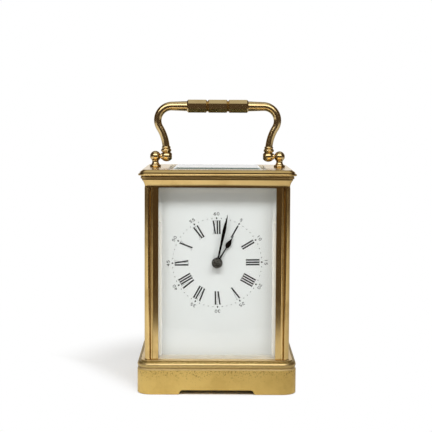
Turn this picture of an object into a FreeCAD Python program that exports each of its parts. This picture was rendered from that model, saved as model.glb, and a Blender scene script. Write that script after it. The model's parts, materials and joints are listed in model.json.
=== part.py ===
import FreeCAD, Part
import math
import os

# Carriage clock, in millimetres. X runs left to right, the dial faces -Y and Z is up.
# The case is worked out from the inside outwards: the train sets the plates, the plates set the case.

Vec = FreeCAD.Vector

# Case mouldings
CASE_WIDTH = 80.0
BASE_CORNER = 7.3
CORNICE_CORNER = 5.0
LEDGE = 3.6
BASE_HEIGHT = 17.0
BASE_FACE = 12.2
ROLL_SEAT = 1.0
ROLL_FILLET = 0.7
FLOOR_THICKNESS = 3.4
MOULDING_WALL = 4.2
CORNICE_HEIGHT = 8.9
CORNICE_SETBACK = 0.45
CUTOUT_LENGTH = 40.0
CUTOUT_RISE = 2.3
CUTOUT_OGEE = 2.9

# Pillars and glasses
PILLAR_SIZE = 7.0
BEAD_RADIUS = 2.6
QUIRK_DEPTH = 0.7
QUIRK_WIDTH = 0.7
REED_WIDTH = 0.9
REED_RISE = 0.2
FLAT_DROP = 0.45
GLASS_THICKNESS = 2.6
GLASS_EDGE = 1.2
GLASS_BEVEL = 1.8
GLASS_SETBACK = 1.1
GROOVE_DEPTH = 1.5
SEAT_DEPTH = 1.0
STUD_RADIUS = 1.3
STUD_INSET = 3.3

# Top glass
TOP_FRAME = 12.0
TOP_SIDE_FRAME = 15.2
TOP_REST = 2.0
TOP_REBATE = 2.4
TOP_GLASS_THICKNESS = 3.0
TOP_GLASS_BEVEL = 4.0

# Rear door
DOOR_THICKNESS = 3.2
DOOR_SETBACK = 0.5
DOOR_STILE = 4.6
DOOR_REBATE = 1.2
DOOR_GLASS_THICKNESS = 2.0
DOOR_GAP = 0.35
DOOR_PIN_RADIUS = 0.9
KNOB_RADIUS = 1.9

# Handle
PIVOT_RISE = 5.6
HANDLE_REACH = 26.0
GRIP_LENGTH = 31.9
GRIP_FLATS = 6.7
ROD_TOP_RADIUS = 2.6
ROD_BEND_RADIUS = 2.3
ROD_MIDDLE_RADIUS = 1.92
ROD_FOOT_RADIUS = 1.95
POST_INSET = 7.7
SWELL_INSET = 8.9
KNUCKLE_RADIUS = 2.75
KNUCKLE_OUTER = 2.1
KNUCKLE_INNER = 3.0
KNUCKLE_GAP = 0.7
SHOULDER_RADIUS = 1.6
COLLAR_RISE = 3.1
COLLAR_RADIUS = 2.75
POST_BALL_RADIUS = 2.8
POST_FOOT_RADIUS = 3.0
POST_NECK_RADIUS = 1.75
PIVOT_RADIUS = 1.0
BEND_RADIUS = 7.35

# Movement frame
PLATE_SPACING = 28.0
PLATE_THICKNESS = 2.0
SIDE_GAP = 6.0
MOTION_DEPTH = 6.3
DIAL_THICKNESS = 1.2
HAND_ROOM = 4.5
KEY_ROOM = 11.4
FLOOR_CLEARANCE = 3.0
FRAME_PILLAR_RADIUS = 2.8
SCREW_RADIUS = 1.0
SLOT_WIDTH = 0.5
SLOT_DEPTH = 0.5

# Train: teeth and modules
GREAT_TEETH = 72
GREAT_MODULE = 0.48
INTER_PINION = 12
INTER_TEETH = 72
INTER_MODULE = 0.36
CENTRE_PINION = 12
CENTRE_TEETH = 64
CENTRE_MODULE = 0.36
THIRD_PINION = 8
THIRD_TEETH = 60
THIRD_MODULE = 0.34
CONTRATE_PINION = 8
CONTRATE_TEETH = 64
CONTRATE_MODULE = 0.30
ESCAPE_PINION = 8
CANNON_TEETH = 12
MINUTE_TEETH = 36
MINUTE_PINION = 10
HOUR_TEETH = 40
MOTION_MODULE = 0.34
RATCHET_TEETH = 24
ESCAPE_TEETH = 15
WHEEL_THICKNESS = 1.3
RUN = 0.07

# Barrel and click
DRUM_RADIUS = 15.2
DRUM_WALL = 1.0
BARREL_CORE = 3.0
SPRING_STRIP = 0.5
SPRING_TURNS = 7
WHEEL_GAP = 0.5
RATCHET_RADIUS = 6.5
RATCHET_DEPTH = 1.0
CLICK_LENGTH = 4.8
CLICK_SPRING_REACH = 10.5
CLICK_SPRING_RISE = 5.2
WINDING_SQUARE = 2.6
SETTING_SQUARE = 1.7

# Platform escapement
ESCAPE_X = 7.0
ESCAPE_SETBACK = 14.0
CONTRATE_RISE = 15.1
ESCAPE_RADIUS = 3.6
FORK_REACH = 5.8
ROLLER_RADIUS = 1.5
BALANCE_RADIUS = 7.2
HAIRSPRING_PITCH = 0.66
HAIRSPRING_TURNS = 5
HAIRSPRING_WIRE = 0.1
HAIRSPRING_SAMPLES = 40
PLATFORM_THICKNESS = 2.0
PLATFORM_WIDTH = 34.0
PLATFORM_HEADROOM = 8.0

# Hands, at two minutes past one
MINUTE_ANGLE = 12.0
HOUR_ANGLE = 31.0
MINUTE_REACH = 24.9
HOUR_REACH = 15.9
HAND_THICKNESS = 0.4
COLLET_RADIUS = 2.45


# Shape helpers

def box(x0, x1, y0, y1, z0, z1):
    return Part.makeBox(x1 - x0, y1 - y0, z1 - z0, Vec(x0, y0, z0))


def rod_x(radius, x0, x1, y, z):
    return Part.makeCylinder(radius, x1 - x0, Vec(x0, y, z), Vec(1, 0, 0))


def rod_y(radius, y0, y1, x, z):
    return Part.makeCylinder(radius, y1 - y0, Vec(x, y0, z), Vec(0, 1, 0))


def rod_z(radius, z0, z1, x, y):
    return Part.makeCylinder(radius, z1 - z0, Vec(x, y, z0), Vec(0, 0, 1))


def square_y(side, y0, y1, x, z):
    half = side / 2
    return box(x - half, x + half, y0, y1, z - half, z + half)


def slot_y(y0, y1, x, z, turn):
    """A cutter for the driver slot of a screw along Y, turned about the screw by an angle in degrees."""
    cutter = box(x - 3, x + 3, y0, y1, z - SLOT_WIDTH / 2, z + SLOT_WIDTH / 2)
    cutter.rotate(Vec(x, 0, z), Vec(0, 1, 0), turn)
    return cutter


def slot_z(z0, z1, x, y, turn):
    cutter = box(x - 3, x + 3, y - SLOT_WIDTH / 2, y + SLOT_WIDTH / 2, z0, z1)
    cutter.rotate(Vec(x, y, 0), Vec(0, 0, 1), turn)
    return cutter


def polygon(points):
    return Part.makePolygon(list(points) + [points[0]])


def face_of(wires):
    return Part.makeFace(Part.makeCompound(wires), "Part::FaceMakerBullseye")


def prism_y(points, y0, y1, holes=()):
    """Extrude an outline of (x, z) points along Y, with hole wires lying in the plane y0."""
    outline = polygon([Vec(x, y0, z) for x, z in points])
    return face_of([outline] + list(holes)).extrude(Vec(0, y1 - y0, 0))


def prism_z(points, z0, z1, holes=()):
    outline = polygon([Vec(x, y, z0) for x, y in points])
    return face_of([outline] + list(holes)).extrude(Vec(0, 0, z1 - z0))


def circle_y(radius, x, y, z):
    return Part.Wire(Part.Circle(Vec(x, y, z), Vec(0, 1, 0), radius).toShape())


def turned_y(steps, x, z):
    """A turned rod along Y from steps of (start, end, radius), each starting where the last one ends."""
    points = [Vec(x, steps[0][0], z)]
    for start, end, radius in steps:
        points += [Vec(x + radius, start, z), Vec(x + radius, end, z)]
    points.append(Vec(x, steps[-1][1], z))
    return face_of([polygon(points)]).revolve(Vec(x, 0, z), Vec(0, 1, 0), 360)


def turned_z(steps, x, y):
    points = [Vec(x, y, steps[0][0])]
    for start, end, radius in steps:
        points += [Vec(x + radius, y, start), Vec(x + radius, y, end)]
    points.append(Vec(x, y, steps[-1][1]))
    return face_of([polygon(points)]).revolve(Vec(x, y, 0), Vec(0, 0, 1), 360)


def fused(shapes):
    return shapes[0].multiFuse(shapes[1:]).removeSplitter()


def cut(shape, tools):
    return shape.cut(Part.makeCompound(list(tools)))


def group(shapes):
    return Part.makeCompound(list(shapes))


def mirror_x(shape):
    return shape.mirror(Vec(0, 0, 0), Vec(1, 0, 0))


def mirror_y(shape):
    return shape.mirror(Vec(0, 0, 0), Vec(0, 1, 0))


def arc(a, b, c):
    return Part.Arc(a, b, c).toShape()


def line(a, b):
    return Part.LineSegment(a, b).toShape()


def polar(radius, angle):
    return radius * math.cos(angle), radius * math.sin(angle)


def triangle_corner(a, b, from_a, from_b, side):
    """The point at two distances from a and b, left (+1) or right (-1) of the line from a to b."""
    dx, dz = b[0] - a[0], b[1] - a[1]
    span = math.hypot(dx, dz)
    along = (from_a ** 2 - from_b ** 2 + span ** 2) / (2 * span)
    off = side * math.sqrt(from_a ** 2 - along ** 2)
    return a[0] + (dx * along - dz * off) / span, a[1] + (dz * along + dx * off) / span


# Gears

class Gear:
    """A wheel or pinion in the plane of the plates. Its phase is the angle of one tooth's middle."""

    def __init__(self, teeth, module, centre, phase=0.0, leaf=False):
        self.teeth = teeth
        self.module = module
        self.centre = centre
        self.phase = phase
        self.leaf = leaf
        self.pitch = teeth * module / 2
        self.tip = self.pitch + module * (0.7 if leaf else 1.0)
        self.root = self.pitch - module * (1.4 if leaf else 1.2)

    def outline(self):
        module = self.module
        if self.leaf:
            half = (0.34 * module, 0.52 * module, 0.26 * module)
        else:
            half = (0.78 * module, 0.64 * module, 0.18 * module)
        radii = (self.root, self.pitch, self.tip)
        points = []
        for tooth in range(self.teeth):
            middle = self.phase + tooth * 2 * math.pi / self.teeth
            left = [(r, middle - h / r) for r, h in zip(radii, half)]
            right = [(r, middle + h / r) for r, h in zip(radii, half)]
            for radius, angle in left + right[::-1]:
                x, z = polar(radius, angle)
                points.append((self.centre[0] + x, self.centre[1] + z))
        return points

    def mesh(self, teeth, module, centre, leaf=False):
        """A gear of the given teeth that meshes with this one, its teeth in this one's gaps."""
        dx, dz = centre[0] - self.centre[0], centre[1] - self.centre[1]
        towards = math.atan2(dz, dx)
        part_turn = (towards - self.phase) * self.teeth / (2 * math.pi)
        phase = towards + math.pi - (0.5 - part_turn) * 2 * math.pi / teeth
        return Gear(teeth, module, centre, phase, leaf)


def crossings(gear, y, hub, rim, count, spoke):
    """Window wires between the spokes of a wheel, lying in the plane y."""
    wires = []
    outer = gear.root - rim
    for index in range(count):
        middle = (index + 0.5) * 2 * math.pi / count
        reach = math.pi / count
        ends = []
        for radius in (hub, outer):
            swing = reach - math.asin(spoke / 2 / radius)
            ends.append([polar(radius, middle + part * swing) for part in (-1, 0, 1)])
        inner, far = [[Vec(gear.centre[0] + x, y, gear.centre[1] + z) for x, z in row] for row in ends]
        wires.append(Part.Wire([arc(*inner), line(inner[2], far[2]), arc(far[2], far[1], far[0]),
                                line(far[0], inner[0])]))
    return wires


def wheel(gear, y0, y1, bore, hub, rim, count=4, spoke=1.5):
    holes = crossings(gear, y0, hub, rim, count, spoke)
    holes.append(circle_y(bore, gear.centre[0], y0, gear.centre[1]))
    return prism_y(gear.outline(), y0, y1, holes)


def pinion_arbor(steps, gear, y0, y1):
    """A turned arbor with its pinion leaves cut in one piece with it."""
    core = turned_y(steps, *gear.centre)
    leaves = prism_y(gear.outline(), y0, y1)
    return fused([core, leaves])


# Where everything stands

HALF_WIDTH = CASE_WIDTH / 2
POST_OFFSET = HALF_WIDTH - POST_INSET
HANDLE_SWELL = HALF_WIDTH - SWELL_INSET
KNUCKLE_OFFSET = POST_OFFSET - POST_BALL_RADIUS - KNUCKLE_GAP - KNUCKLE_OUTER
FRONT_STACK = MOTION_DEPTH + DIAL_THICKNESS + HAND_ROOM + GLASS_THICKNESS + GLASS_SETBACK + LEDGE
REAR_STACK = KEY_ROOM + DOOR_THICKNESS + DOOR_SETBACK + LEDGE
FRAME_DEPTH = PLATE_SPACING + 2 * PLATE_THICKNESS
HALF_DEPTH = (FRONT_STACK + FRAME_DEPTH + REAR_STACK) / 2
FLOOR = BASE_HEIGHT

# Depth, from the front ledge backwards
PILLAR_X = HALF_WIDTH - LEDGE
PILLAR_Y = HALF_DEPTH - LEDGE
APERTURE = PILLAR_X - PILLAR_SIZE
GLASS_BACK = -PILLAR_Y + GLASS_SETBACK + GLASS_THICKNESS
DIAL_FACE = GLASS_BACK + HAND_ROOM
DIAL_BACK = DIAL_FACE + DIAL_THICKNESS
PLATE_FRONT = DIAL_BACK + MOTION_DEPTH
FRONT_INSIDE = PLATE_FRONT + PLATE_THICKNESS
BACK_INSIDE = FRONT_INSIDE + PLATE_SPACING
PLATE_BACK = BACK_INSIDE + PLATE_THICKNESS
DOOR_INNER = PILLAR_Y - DOOR_SETBACK - DOOR_THICKNESS
DOOR_OUTER = PILLAR_Y - DOOR_SETBACK

# Train centres, from the barrel upwards
great_tip = GREAT_TEETH * GREAT_MODULE / 2 + GREAT_MODULE
centre_tip = CENTRE_TEETH * CENTRE_MODULE / 2 + CENTRE_MODULE
BARREL = (0.0, FLOOR + FLOOR_CLEARANCE + great_tip)
CENTRE = (0.0, BARREL[1] + DRUM_RADIUS + WHEEL_GAP + centre_tip)
INTER = triangle_corner(BARREL, CENTRE, (GREAT_TEETH + INTER_PINION) * GREAT_MODULE / 2,
                        (INTER_TEETH + CENTRE_PINION) * INTER_MODULE / 2, -1)
CONTRATE = (ESCAPE_X, CENTRE[1] + CONTRATE_RISE)
THIRD = triangle_corner(CENTRE, CONTRATE, (CENTRE_TEETH + THIRD_PINION) * CENTRE_MODULE / 2,
                        (THIRD_TEETH + CONTRATE_PINION) * THIRD_MODULE / 2, 1)
CONTRATE_RADIUS = CONTRATE_TEETH * CONTRATE_MODULE / 2
MOTION_ARM = (CANNON_TEETH + MINUTE_TEETH) * MOTION_MODULE / 2
HOUR_MODULE = 2 * MOTION_ARM / (MINUTE_PINION + HOUR_TEETH)
MINUTE_POST = (CENTRE[0] - MOTION_ARM * math.sin(math.radians(45)),
               CENTRE[1] - MOTION_ARM * math.cos(math.radians(45)))

# Height, up from the contrate wheel
CROWN_WIDTH = 1.2
PLATE_TOP = CONTRATE[1] + CONTRATE_RADIUS + CROWN_WIDTH / 2 + 3.0
PLATFORM_TOP = PLATE_TOP + PLATFORM_THICKNESS
CEILING = PLATFORM_TOP + PLATFORM_HEADROOM
TOP = CEILING + CORNICE_HEIGHT
PIVOT_HEIGHT = TOP + PIVOT_RISE
PLATE_HALF = HALF_WIDTH - LEDGE - GLASS_SETBACK - GLASS_THICKNESS - SIDE_GAP

# Levels between the plates
INTER_LEVEL = FRONT_INSIDE + 3.4
BARREL_FRONT = INTER_LEVEL + WHEEL_THICKNESS + 1.7
GREAT_LEVEL = BACK_INSIDE - 4.5
CENTRE_LEVEL = FRONT_INSIDE + 10.0
ESCAPE_Y = FRONT_INSIDE + ESCAPE_SETBACK
CROWN_TIP = ESCAPE_Y + ESCAPE_PINION * CONTRATE_MODULE / 2 - 0.8 * CONTRATE_MODULE
CROWN_ROOT = CROWN_TIP + 2.4 * CONTRATE_MODULE
THIRD_LEVEL = CROWN_ROOT + 4.4


# Case

def rounded_path(half_x, half_y, radius, z):
    """A closed rounded rectangle that starts in the middle of its front side."""
    bend = radius * (1 - math.sqrt(0.5))
    corners = [(1, -1), (1, 1), (-1, 1), (-1, -1)]
    start = Vec(0, -half_y, z)
    edges = []
    here = start
    for index, (sx, sy) in enumerate(corners):
        on_side = Vec(sx * half_x, sy * (half_y - radius), z)
        on_front = Vec(sx * (half_x - radius), sy * half_y, z)
        middle = Vec(sx * (half_x - bend), sy * (half_y - bend), z)
        first, last = (on_front, on_side) if index % 2 == 0 else (on_side, on_front)
        edges += [line(here, first), arc(first, middle, last)]
        here = last
    edges.append(line(here, start))
    return Part.Wire(edges)


def rounded_block(half_x, half_y, radius, z0, z1):
    return Part.Face(rounded_path(half_x, half_y, radius, z0)).extrude(Vec(0, 0, z1 - z0))


def chain(points):
    """Straight edges from each point to the next."""
    return [line(first, second) for first, second in zip(points, points[1:])]


def moulding(edges_of, z, corner, setback=0.0):
    """Sweep a moulding section round the case. edges_of takes a function from (inset, rise) to a point."""
    def at(inset, rise):
        return Vec(0, -HALF_DEPTH + setback + inset, z + rise)
    section = Part.Wire(edges_of(at))
    path = rounded_path(HALF_WIDTH, HALF_DEPTH, corner, z)
    return path.makePipeShell([section], True, False)


def base_section(at):
    """From the foot up: a plain face, a chamfer, a half-round roll, a fillet and the pillars' ledge."""
    inner = MOULDING_WALL
    height = BASE_HEIGHT
    low, top = BASE_FACE + ROLL_SEAT, height - ROLL_FILLET
    undercut = math.radians(60)
    radius = (top - low) / (1 + math.sin(undercut))
    foot = radius * (1 - math.cos(undercut))
    roll_low, roll_top = at(foot, low), at(radius, top)
    corners = [at(inner, 0), at(0.4, 0), at(0, 0.4), at(0, BASE_FACE), at(0.75, low - 0.3),
               at(foot + 0.2, low - 0.25), roll_low]
    ledge = [roll_top, at(radius + 0.25, top), at(radius + 0.25, height), at(inner, height), at(inner, 0)]
    return [*chain(corners), arc(roll_low, at(0, top - radius), roll_top), *chain(ledge)]


def cornice_section(at):
    """From the ceiling up: a cove, and hung from the top a fillet, a quirk, a roll, a quirk and a brow."""
    inner = MOULDING_WALL
    height = CORNICE_HEIGHT

    def hung(setback, drop):
        return at(setback, height - drop)
    cove_low, cove_top = at(3.4, 0.5), hung(2.1, 5.3)
    cove_middle = at(3.0, 0.6 * (height - 5.3))
    fillet = [hung(1.9, 5.0), hung(1.9, 4.45), hung(1.3, 4.4), hung(1.3, 3.4), hung(2.0, 3.35),
              hung(2.0, 2.95)]
    roll_low, roll_top = hung(0.35, 2.9), hung(0.5, 1.8)
    brow_low, brow_top = hung(0.65, 1.3), hung(2.5, 0)
    return [*chain([at(inner, 0), at(3.4, 0), cove_low]), arc(cove_low, cove_middle, cove_top),
            *chain([cove_top, *fillet, roll_low]), arc(roll_low, hung(0, 2.4), roll_top),
            *chain([roll_top, hung(1.1, 1.7), hung(1.1, 1.4), brow_low]),
            arc(brow_low, hung(1.5, 0.57), brow_top),
            *chain([brow_top, at(inner, height), at(inner, 0)])]


def cutout(length, reach):
    """The shaped gap under a base edge: flat on top with an ogee at each end, cut through along Y."""
    lean = 2 * math.atan2(CUTOUT_RISE, CUTOUT_OGEE)
    radius = CUTOUT_OGEE / (2 * math.sin(lean))
    half = length / 2
    edges = []
    low = -1.0
    for side in (1, -1):
        def at(x, z):
            return Vec(side * x, -reach, z)
        foot = at(half, 0)
        middle = at(half - CUTOUT_OGEE / 2, CUTOUT_RISE / 2)
        head = at(half - CUTOUT_OGEE, CUTOUT_RISE)
        bulge = radius * math.sin(lean / 2), radius * (1 - math.cos(lean / 2))
        edges += [line(at(half, low), foot), arc(foot, at(half - bulge[0], bulge[1]), middle),
                  arc(middle, at(half - CUTOUT_OGEE + bulge[0], CUTOUT_RISE - bulge[1]), head)]
    top = half - CUTOUT_OGEE
    edges.append(line(Vec(top, -reach, CUTOUT_RISE), Vec(-top, -reach, CUTOUT_RISE)))
    edges.append(line(Vec(half, -reach, low), Vec(-half, -reach, low)))
    outline = Part.Wire(Part.__sortEdges__(edges))
    return Part.Face(outline).extrude(Vec(0, 2 * reach, 0))


def pillar_centre():
    return PILLAR_X - STUD_INSET, PILLAR_Y - STUD_INSET


def corner_places():
    x, y = pillar_centre()
    return [(sx * x, sy * y) for sx in (-1, 1) for sy in (-1, 1)]


def glass_slots(z0, z1):
    """Grooves in the base or cornice for the edges of the front and side glasses."""
    front = box(-APERTURE - 1, APERTURE + 1, GLASS_BACK - GLASS_EDGE - 0.05, GLASS_BACK + 0.05, z0, z1)
    side_back = PILLAR_X - GLASS_SETBACK - GLASS_THICKNESS
    reach = PILLAR_Y - PILLAR_SIZE + 1
    side = box(side_back - 0.05, side_back + GLASS_EDGE + 0.05, -reach, reach, z0, z1)
    return [front, side, mirror_x(side)]


def door_axis():
    return APERTURE - DOOR_GAP - DOOR_THICKNESS / 2 - 0.1, (DOOR_INNER + DOOR_OUTER) / 2


def seat_places():
    x, y = PLATE_HALF - 5.0, (FRONT_INSIDE + BACK_INSIDE) / 2
    return [(-x, y), (x, y)]


def base():
    ring = moulding(base_section, 0, BASE_CORNER)
    inset = MOULDING_WALL - 0.4
    floor = rounded_block(HALF_WIDTH - inset, HALF_DEPTH - inset, BASE_CORNER - inset,
                          FLOOR - FLOOR_THICKNESS, FLOOR)
    body = ring.fuse(floor).removeSplitter()
    across = cutout(CUTOUT_LENGTH, HALF_DEPTH + 2)
    along = cutout(CUTOUT_LENGTH - CASE_WIDTH + 2 * HALF_DEPTH, HALF_WIDTH + 2)
    along.rotate(Vec(0, 0, 0), Vec(0, 0, 1), 90)
    under, over = FLOOR - FLOOR_THICKNESS - 1, FLOOR + 1
    holes = [rod_z(STUD_RADIUS + 0.1, under, over, x, y) for x, y in corner_places()]
    holes += [rod_z(SCREW_RADIUS + 0.1, under, over, x, y) for x, y in seat_places()]
    holes.append(rod_z(DOOR_PIN_RADIUS + RUN, FLOOR - 2.6, FLOOR + 1, *door_axis()))
    return cut(body, [across, along] + holes + glass_slots(FLOOR - SEAT_DEPTH, FLOOR + 1))


def cornice():
    ring = moulding(cornice_section, CEILING, CORNICE_CORNER, CORNICE_SETBACK)
    inset = MOULDING_WALL - 0.4
    deck = rounded_block(HALF_WIDTH - inset, HALF_DEPTH - inset, CORNICE_CORNER - inset, CEILING, TOP)
    body = ring.fuse(deck).removeSplitter()
    well_x, well_y = HALF_WIDTH - TOP_SIDE_FRAME, HALF_DEPTH - TOP_FRAME
    rest = TOP_REST
    window = box(-well_x + rest, well_x - rest, -well_y + rest, well_y - rest, CEILING - 1, TOP + 1)
    rebate = box(-well_x, well_x, -well_y, well_y, TOP - TOP_REBATE, TOP + 1)
    holes = [rod_z(STUD_RADIUS, CEILING - 1, CEILING + 4.0, x, y) for x, y in corner_places()]
    holes += [rod_z(STUD_RADIUS, TOP - 5.0, TOP + 1, side * POST_OFFSET, 0) for side in (-1, 1)]
    holes.append(rod_z(DOOR_PIN_RADIUS + RUN, CEILING - 1, CEILING + 2.6, *door_axis()))
    return cut(body, [window, rebate] + holes + glass_slots(CEILING - 1, CEILING + SEAT_DEPTH))


def pillar(front):
    """The right-hand pillar of the front pair, or of the back pair before it is mirrored."""
    def at(u, v):
        return Vec(PILLAR_X - u, -PILLAR_Y + v, FLOOR)
    bead = BEAD_RADIUS
    trough = bead + QUIRK_WIDTH / 2
    reed = bead + QUIRK_WIDTH
    flat = reed + REED_WIDTH
    near = bead * (1 - math.sqrt(0.5))
    size = PILLAR_SIZE
    face = [(bead, 0), (trough, QUIRK_DEPTH), (reed, REED_RISE)]
    panel = [(flat, REED_RISE), (flat + 0.1, FLAT_DROP), (size, FLAT_DROP), (size, size)]
    crest = (reed + REED_WIDTH / 2, 0)
    edges = [arc(at(0, bead), at(near, near), at(bead, 0))]
    edges += chain([at(u, v) for u, v in face]) + [arc(at(*face[-1]), at(*crest), at(*panel[0]))]
    edges += chain([at(u, v) for u, v in panel]) + chain([at(v, u) for u, v in panel[::-1]])
    edges += [arc(at(*panel[0][::-1]), at(*crest[::-1]), at(*face[-1][::-1]))]
    edges += chain([at(v, u) for u, v in face[::-1]])
    shaft = Part.Face(Part.Wire(edges)).extrude(Vec(0, 0, CEILING - FLOOR))
    x, y = pillar_centre()
    shaft = shaft.fuse(rod_z(STUD_RADIUS, CEILING - 1, CEILING + 3.8, x, -y))
    tools = [rod_z(STUD_RADIUS, FLOOR - 1, FLOOR + 9, x, -y)]
    side_back = PILLAR_X - GLASS_SETBACK - GLASS_THICKNESS
    inner_y = -PILLAR_Y + size
    tools.append(box(side_back - 0.05, side_back + GLASS_EDGE + 0.05, inner_y - GROOVE_DEPTH, inner_y + 1,
                     FLOOR - 1, CEILING))
    if front:
        tools.append(box(APERTURE - 1, APERTURE + GROOVE_DEPTH, GLASS_BACK - GLASS_EDGE - 0.05,
                         GLASS_BACK + 0.05, FLOOR - 1, CEILING))
    return cut(shaft, tools)


def screw(radius, length, head):
    """An upright screw with its head down: the head's top face is at z = 0 and the shank rises from it."""
    body = turned_z([(-1.5, 0, head), (0, length, radius)], 0, 0)
    return cut(body, [slot_z(-1.6, -1.5 + SLOT_DEPTH, 0, 0, 25)])


def pillar_screws():
    stem = screw(STUD_RADIUS - 0.02, FLOOR_THICKNESS + 8.0, 2.4)
    return group([stem.translated(Vec(x, y, FLOOR - FLOOR_THICKNESS)) for x, y in corner_places()])


def pane(width, height, thickness, bevel, lip):
    """A bevelled glass standing in X and Z: flat back at y = 0, bevelled face to -y, plain lip round it."""
    edge = box(-width / 2, width / 2, -GLASS_EDGE, 0, 0, height)
    half, low, high = width / 2 - lip, lip, height - lip
    slope = Part.makeWedge(-half, 0, low, low + bevel, -half + bevel,
                           half, thickness - GLASS_EDGE, high, high - bevel, half - bevel)
    slope = mirror_y(slope).translated(Vec(0, -GLASS_EDGE, 0))
    return edge.fuse(slope).removeSplitter()


def front_glass():
    height = CEILING - FLOOR + 2 * SEAT_DEPTH - 0.2
    glass = pane(2 * (APERTURE + GROOVE_DEPTH) - 0.2, height, GLASS_THICKNESS, GLASS_BEVEL, GROOVE_DEPTH)
    return glass.translated(Vec(0, GLASS_BACK, FLOOR - SEAT_DEPTH))


def right_glass():
    height = CEILING - FLOOR + 2 * SEAT_DEPTH - 0.2
    width = 2 * (PILLAR_Y - PILLAR_SIZE + GROOVE_DEPTH) - 0.2
    glass = pane(width, height, GLASS_THICKNESS, GLASS_BEVEL, GROOVE_DEPTH)
    glass.rotate(Vec(0, 0, 0), Vec(0, 0, 1), 90)
    return glass.translated(Vec(PILLAR_X - GLASS_SETBACK - GLASS_THICKNESS, 0, FLOOR - SEAT_DEPTH))


def top_glass():
    width = 2 * (HALF_WIDTH - TOP_SIDE_FRAME) - 0.2
    depth = 2 * (HALF_DEPTH - TOP_FRAME) - 0.2
    glass = pane(width, depth, TOP_GLASS_THICKNESS, TOP_GLASS_BEVEL, 0.0)
    glass.rotate(Vec(0, 0, 0), Vec(1, 0, 0), -90)
    return glass.translated(Vec(0, -depth / 2, TOP - TOP_REBATE))


# Rear door

def door_frame():
    axis_x, axis_y = door_axis()
    half = DOOR_THICKNESS / 2
    free = -APERTURE + DOOR_GAP
    low, high = FLOOR + DOOR_GAP, CEILING - DOOR_GAP
    slab = box(free, axis_x, DOOR_INNER, DOOR_OUTER, low, high)
    slab = slab.fuse(rod_z(half, low, high, axis_x, axis_y)).removeSplitter()
    sight = box(free + DOOR_STILE, axis_x + half - DOOR_STILE, DOOR_INNER - 1, DOOR_OUTER + 1,
                low + DOOR_STILE, high - DOOR_STILE)
    hidden = DOOR_STILE - DOOR_REBATE
    rebate = box(free + hidden, axis_x + half - hidden, axis_y - 0.8, axis_y + 0.8,
                 low + hidden, high - hidden)
    pins = [rod_z(DOOR_PIN_RADIUS, low - 1, low + 4, axis_x, axis_y),
            rod_z(DOOR_PIN_RADIUS, high - 4, high + 1, axis_x, axis_y)]
    knob = rod_y(0.8, DOOR_INNER - 1, DOOR_OUTER + 1, free + DOOR_STILE / 2 - 0.6, (low + high) / 2)
    return cut(slab, [sight, rebate, knob] + pins)


def door_glass():
    axis_x, axis_y = door_axis()
    free = -APERTURE + DOOR_GAP
    low, high = FLOOR + DOOR_GAP, CEILING - DOOR_GAP
    hidden = DOOR_STILE - DOOR_REBATE + 0.1
    left, right = free + hidden, axis_x + DOOR_THICKNESS / 2 - hidden
    glass = pane(right - left, high - low - 2 * hidden, DOOR_GLASS_THICKNESS, GLASS_BEVEL, DOOR_REBATE)
    glass = mirror_y(glass)
    return glass.translated(Vec((left + right) / 2, axis_y - 0.6, low + hidden))


def door_pins():
    axis = door_axis()
    low, high = FLOOR + DOOR_GAP, CEILING - DOOR_GAP
    return group([rod_z(DOOR_PIN_RADIUS, FLOOR - 2.4, low + 4, *axis),
                  rod_z(DOOR_PIN_RADIUS, high - 4, CEILING + 2.4, *axis)])


def door_knob():
    free = -APERTURE + DOOR_GAP
    x, z = free + DOOR_STILE / 2 - 0.6, (FLOOR + CEILING) / 2
    reach = LEDGE + DOOR_SETBACK - 0.4
    face = DOOR_OUTER
    stem = turned_y([(DOOR_INNER + 0.4, face, 0.8), (face, face + 0.4, 1.5),
                     (face + 0.4, face + 1.2, 0.9), (face + 1.2, face + reach, KNOB_RADIUS)], x, z)
    boxes = [(edge, edge.BoundBox) for edge in stem.Edges]
    rim = [edge for edge, bounds in boxes if bounds.YMin > face + reach - 0.01 and bounds.XLength > 1]
    return stem.makeFillet(0.8, rim)


# Handle

def arm_path():
    """The swan neck's line from the grip's end to the collar, and the rod's radius at each of its joints."""
    grip_z = PIVOT_HEIGHT + HANDLE_REACH
    bend_x = HANDLE_SWELL - BEND_RADIUS
    turn_z = grip_z - BEND_RADIUS
    collar_z = PIVOT_HEIGHT + COLLAR_RISE
    # the second bend brings the rod back over the knuckle
    lean = 2 * math.atan2(HANDLE_SWELL - KNUCKLE_OFFSET, turn_z - collar_z)
    back_radius = (turn_z - collar_z) / math.sin(lean) - BEND_RADIUS
    start = Vec(GRIP_LENGTH / 2, 0, grip_z)
    bend = Vec(bend_x, 0, grip_z)

    def first(angle):
        return Vec(bend_x + BEND_RADIUS * math.cos(angle), 0, turn_z + BEND_RADIUS * math.sin(angle))

    centre_x = KNUCKLE_OFFSET + back_radius

    def second(angle):
        return Vec(centre_x - back_radius * math.cos(angle), 0, collar_z + back_radius * math.sin(angle))

    crossing = first(-lean)
    half_way = (math.pi / 2 - lean) / 2
    wire = Part.Wire([line(start, bend), arc(bend, first(half_way), crossing),
                      arc(crossing, second(lean / 2), second(0))])
    heading = Vec(-math.sin(lean), 0, -math.cos(lean))
    rings = [(start, Vec(1, 0, 0), ROD_TOP_RADIUS), (bend, Vec(1, 0, 0), ROD_BEND_RADIUS),
             (crossing, heading, ROD_MIDDLE_RADIUS), (second(0), Vec(0, 0, -1), ROD_FOOT_RADIUS)]
    return wire, rings


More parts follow.
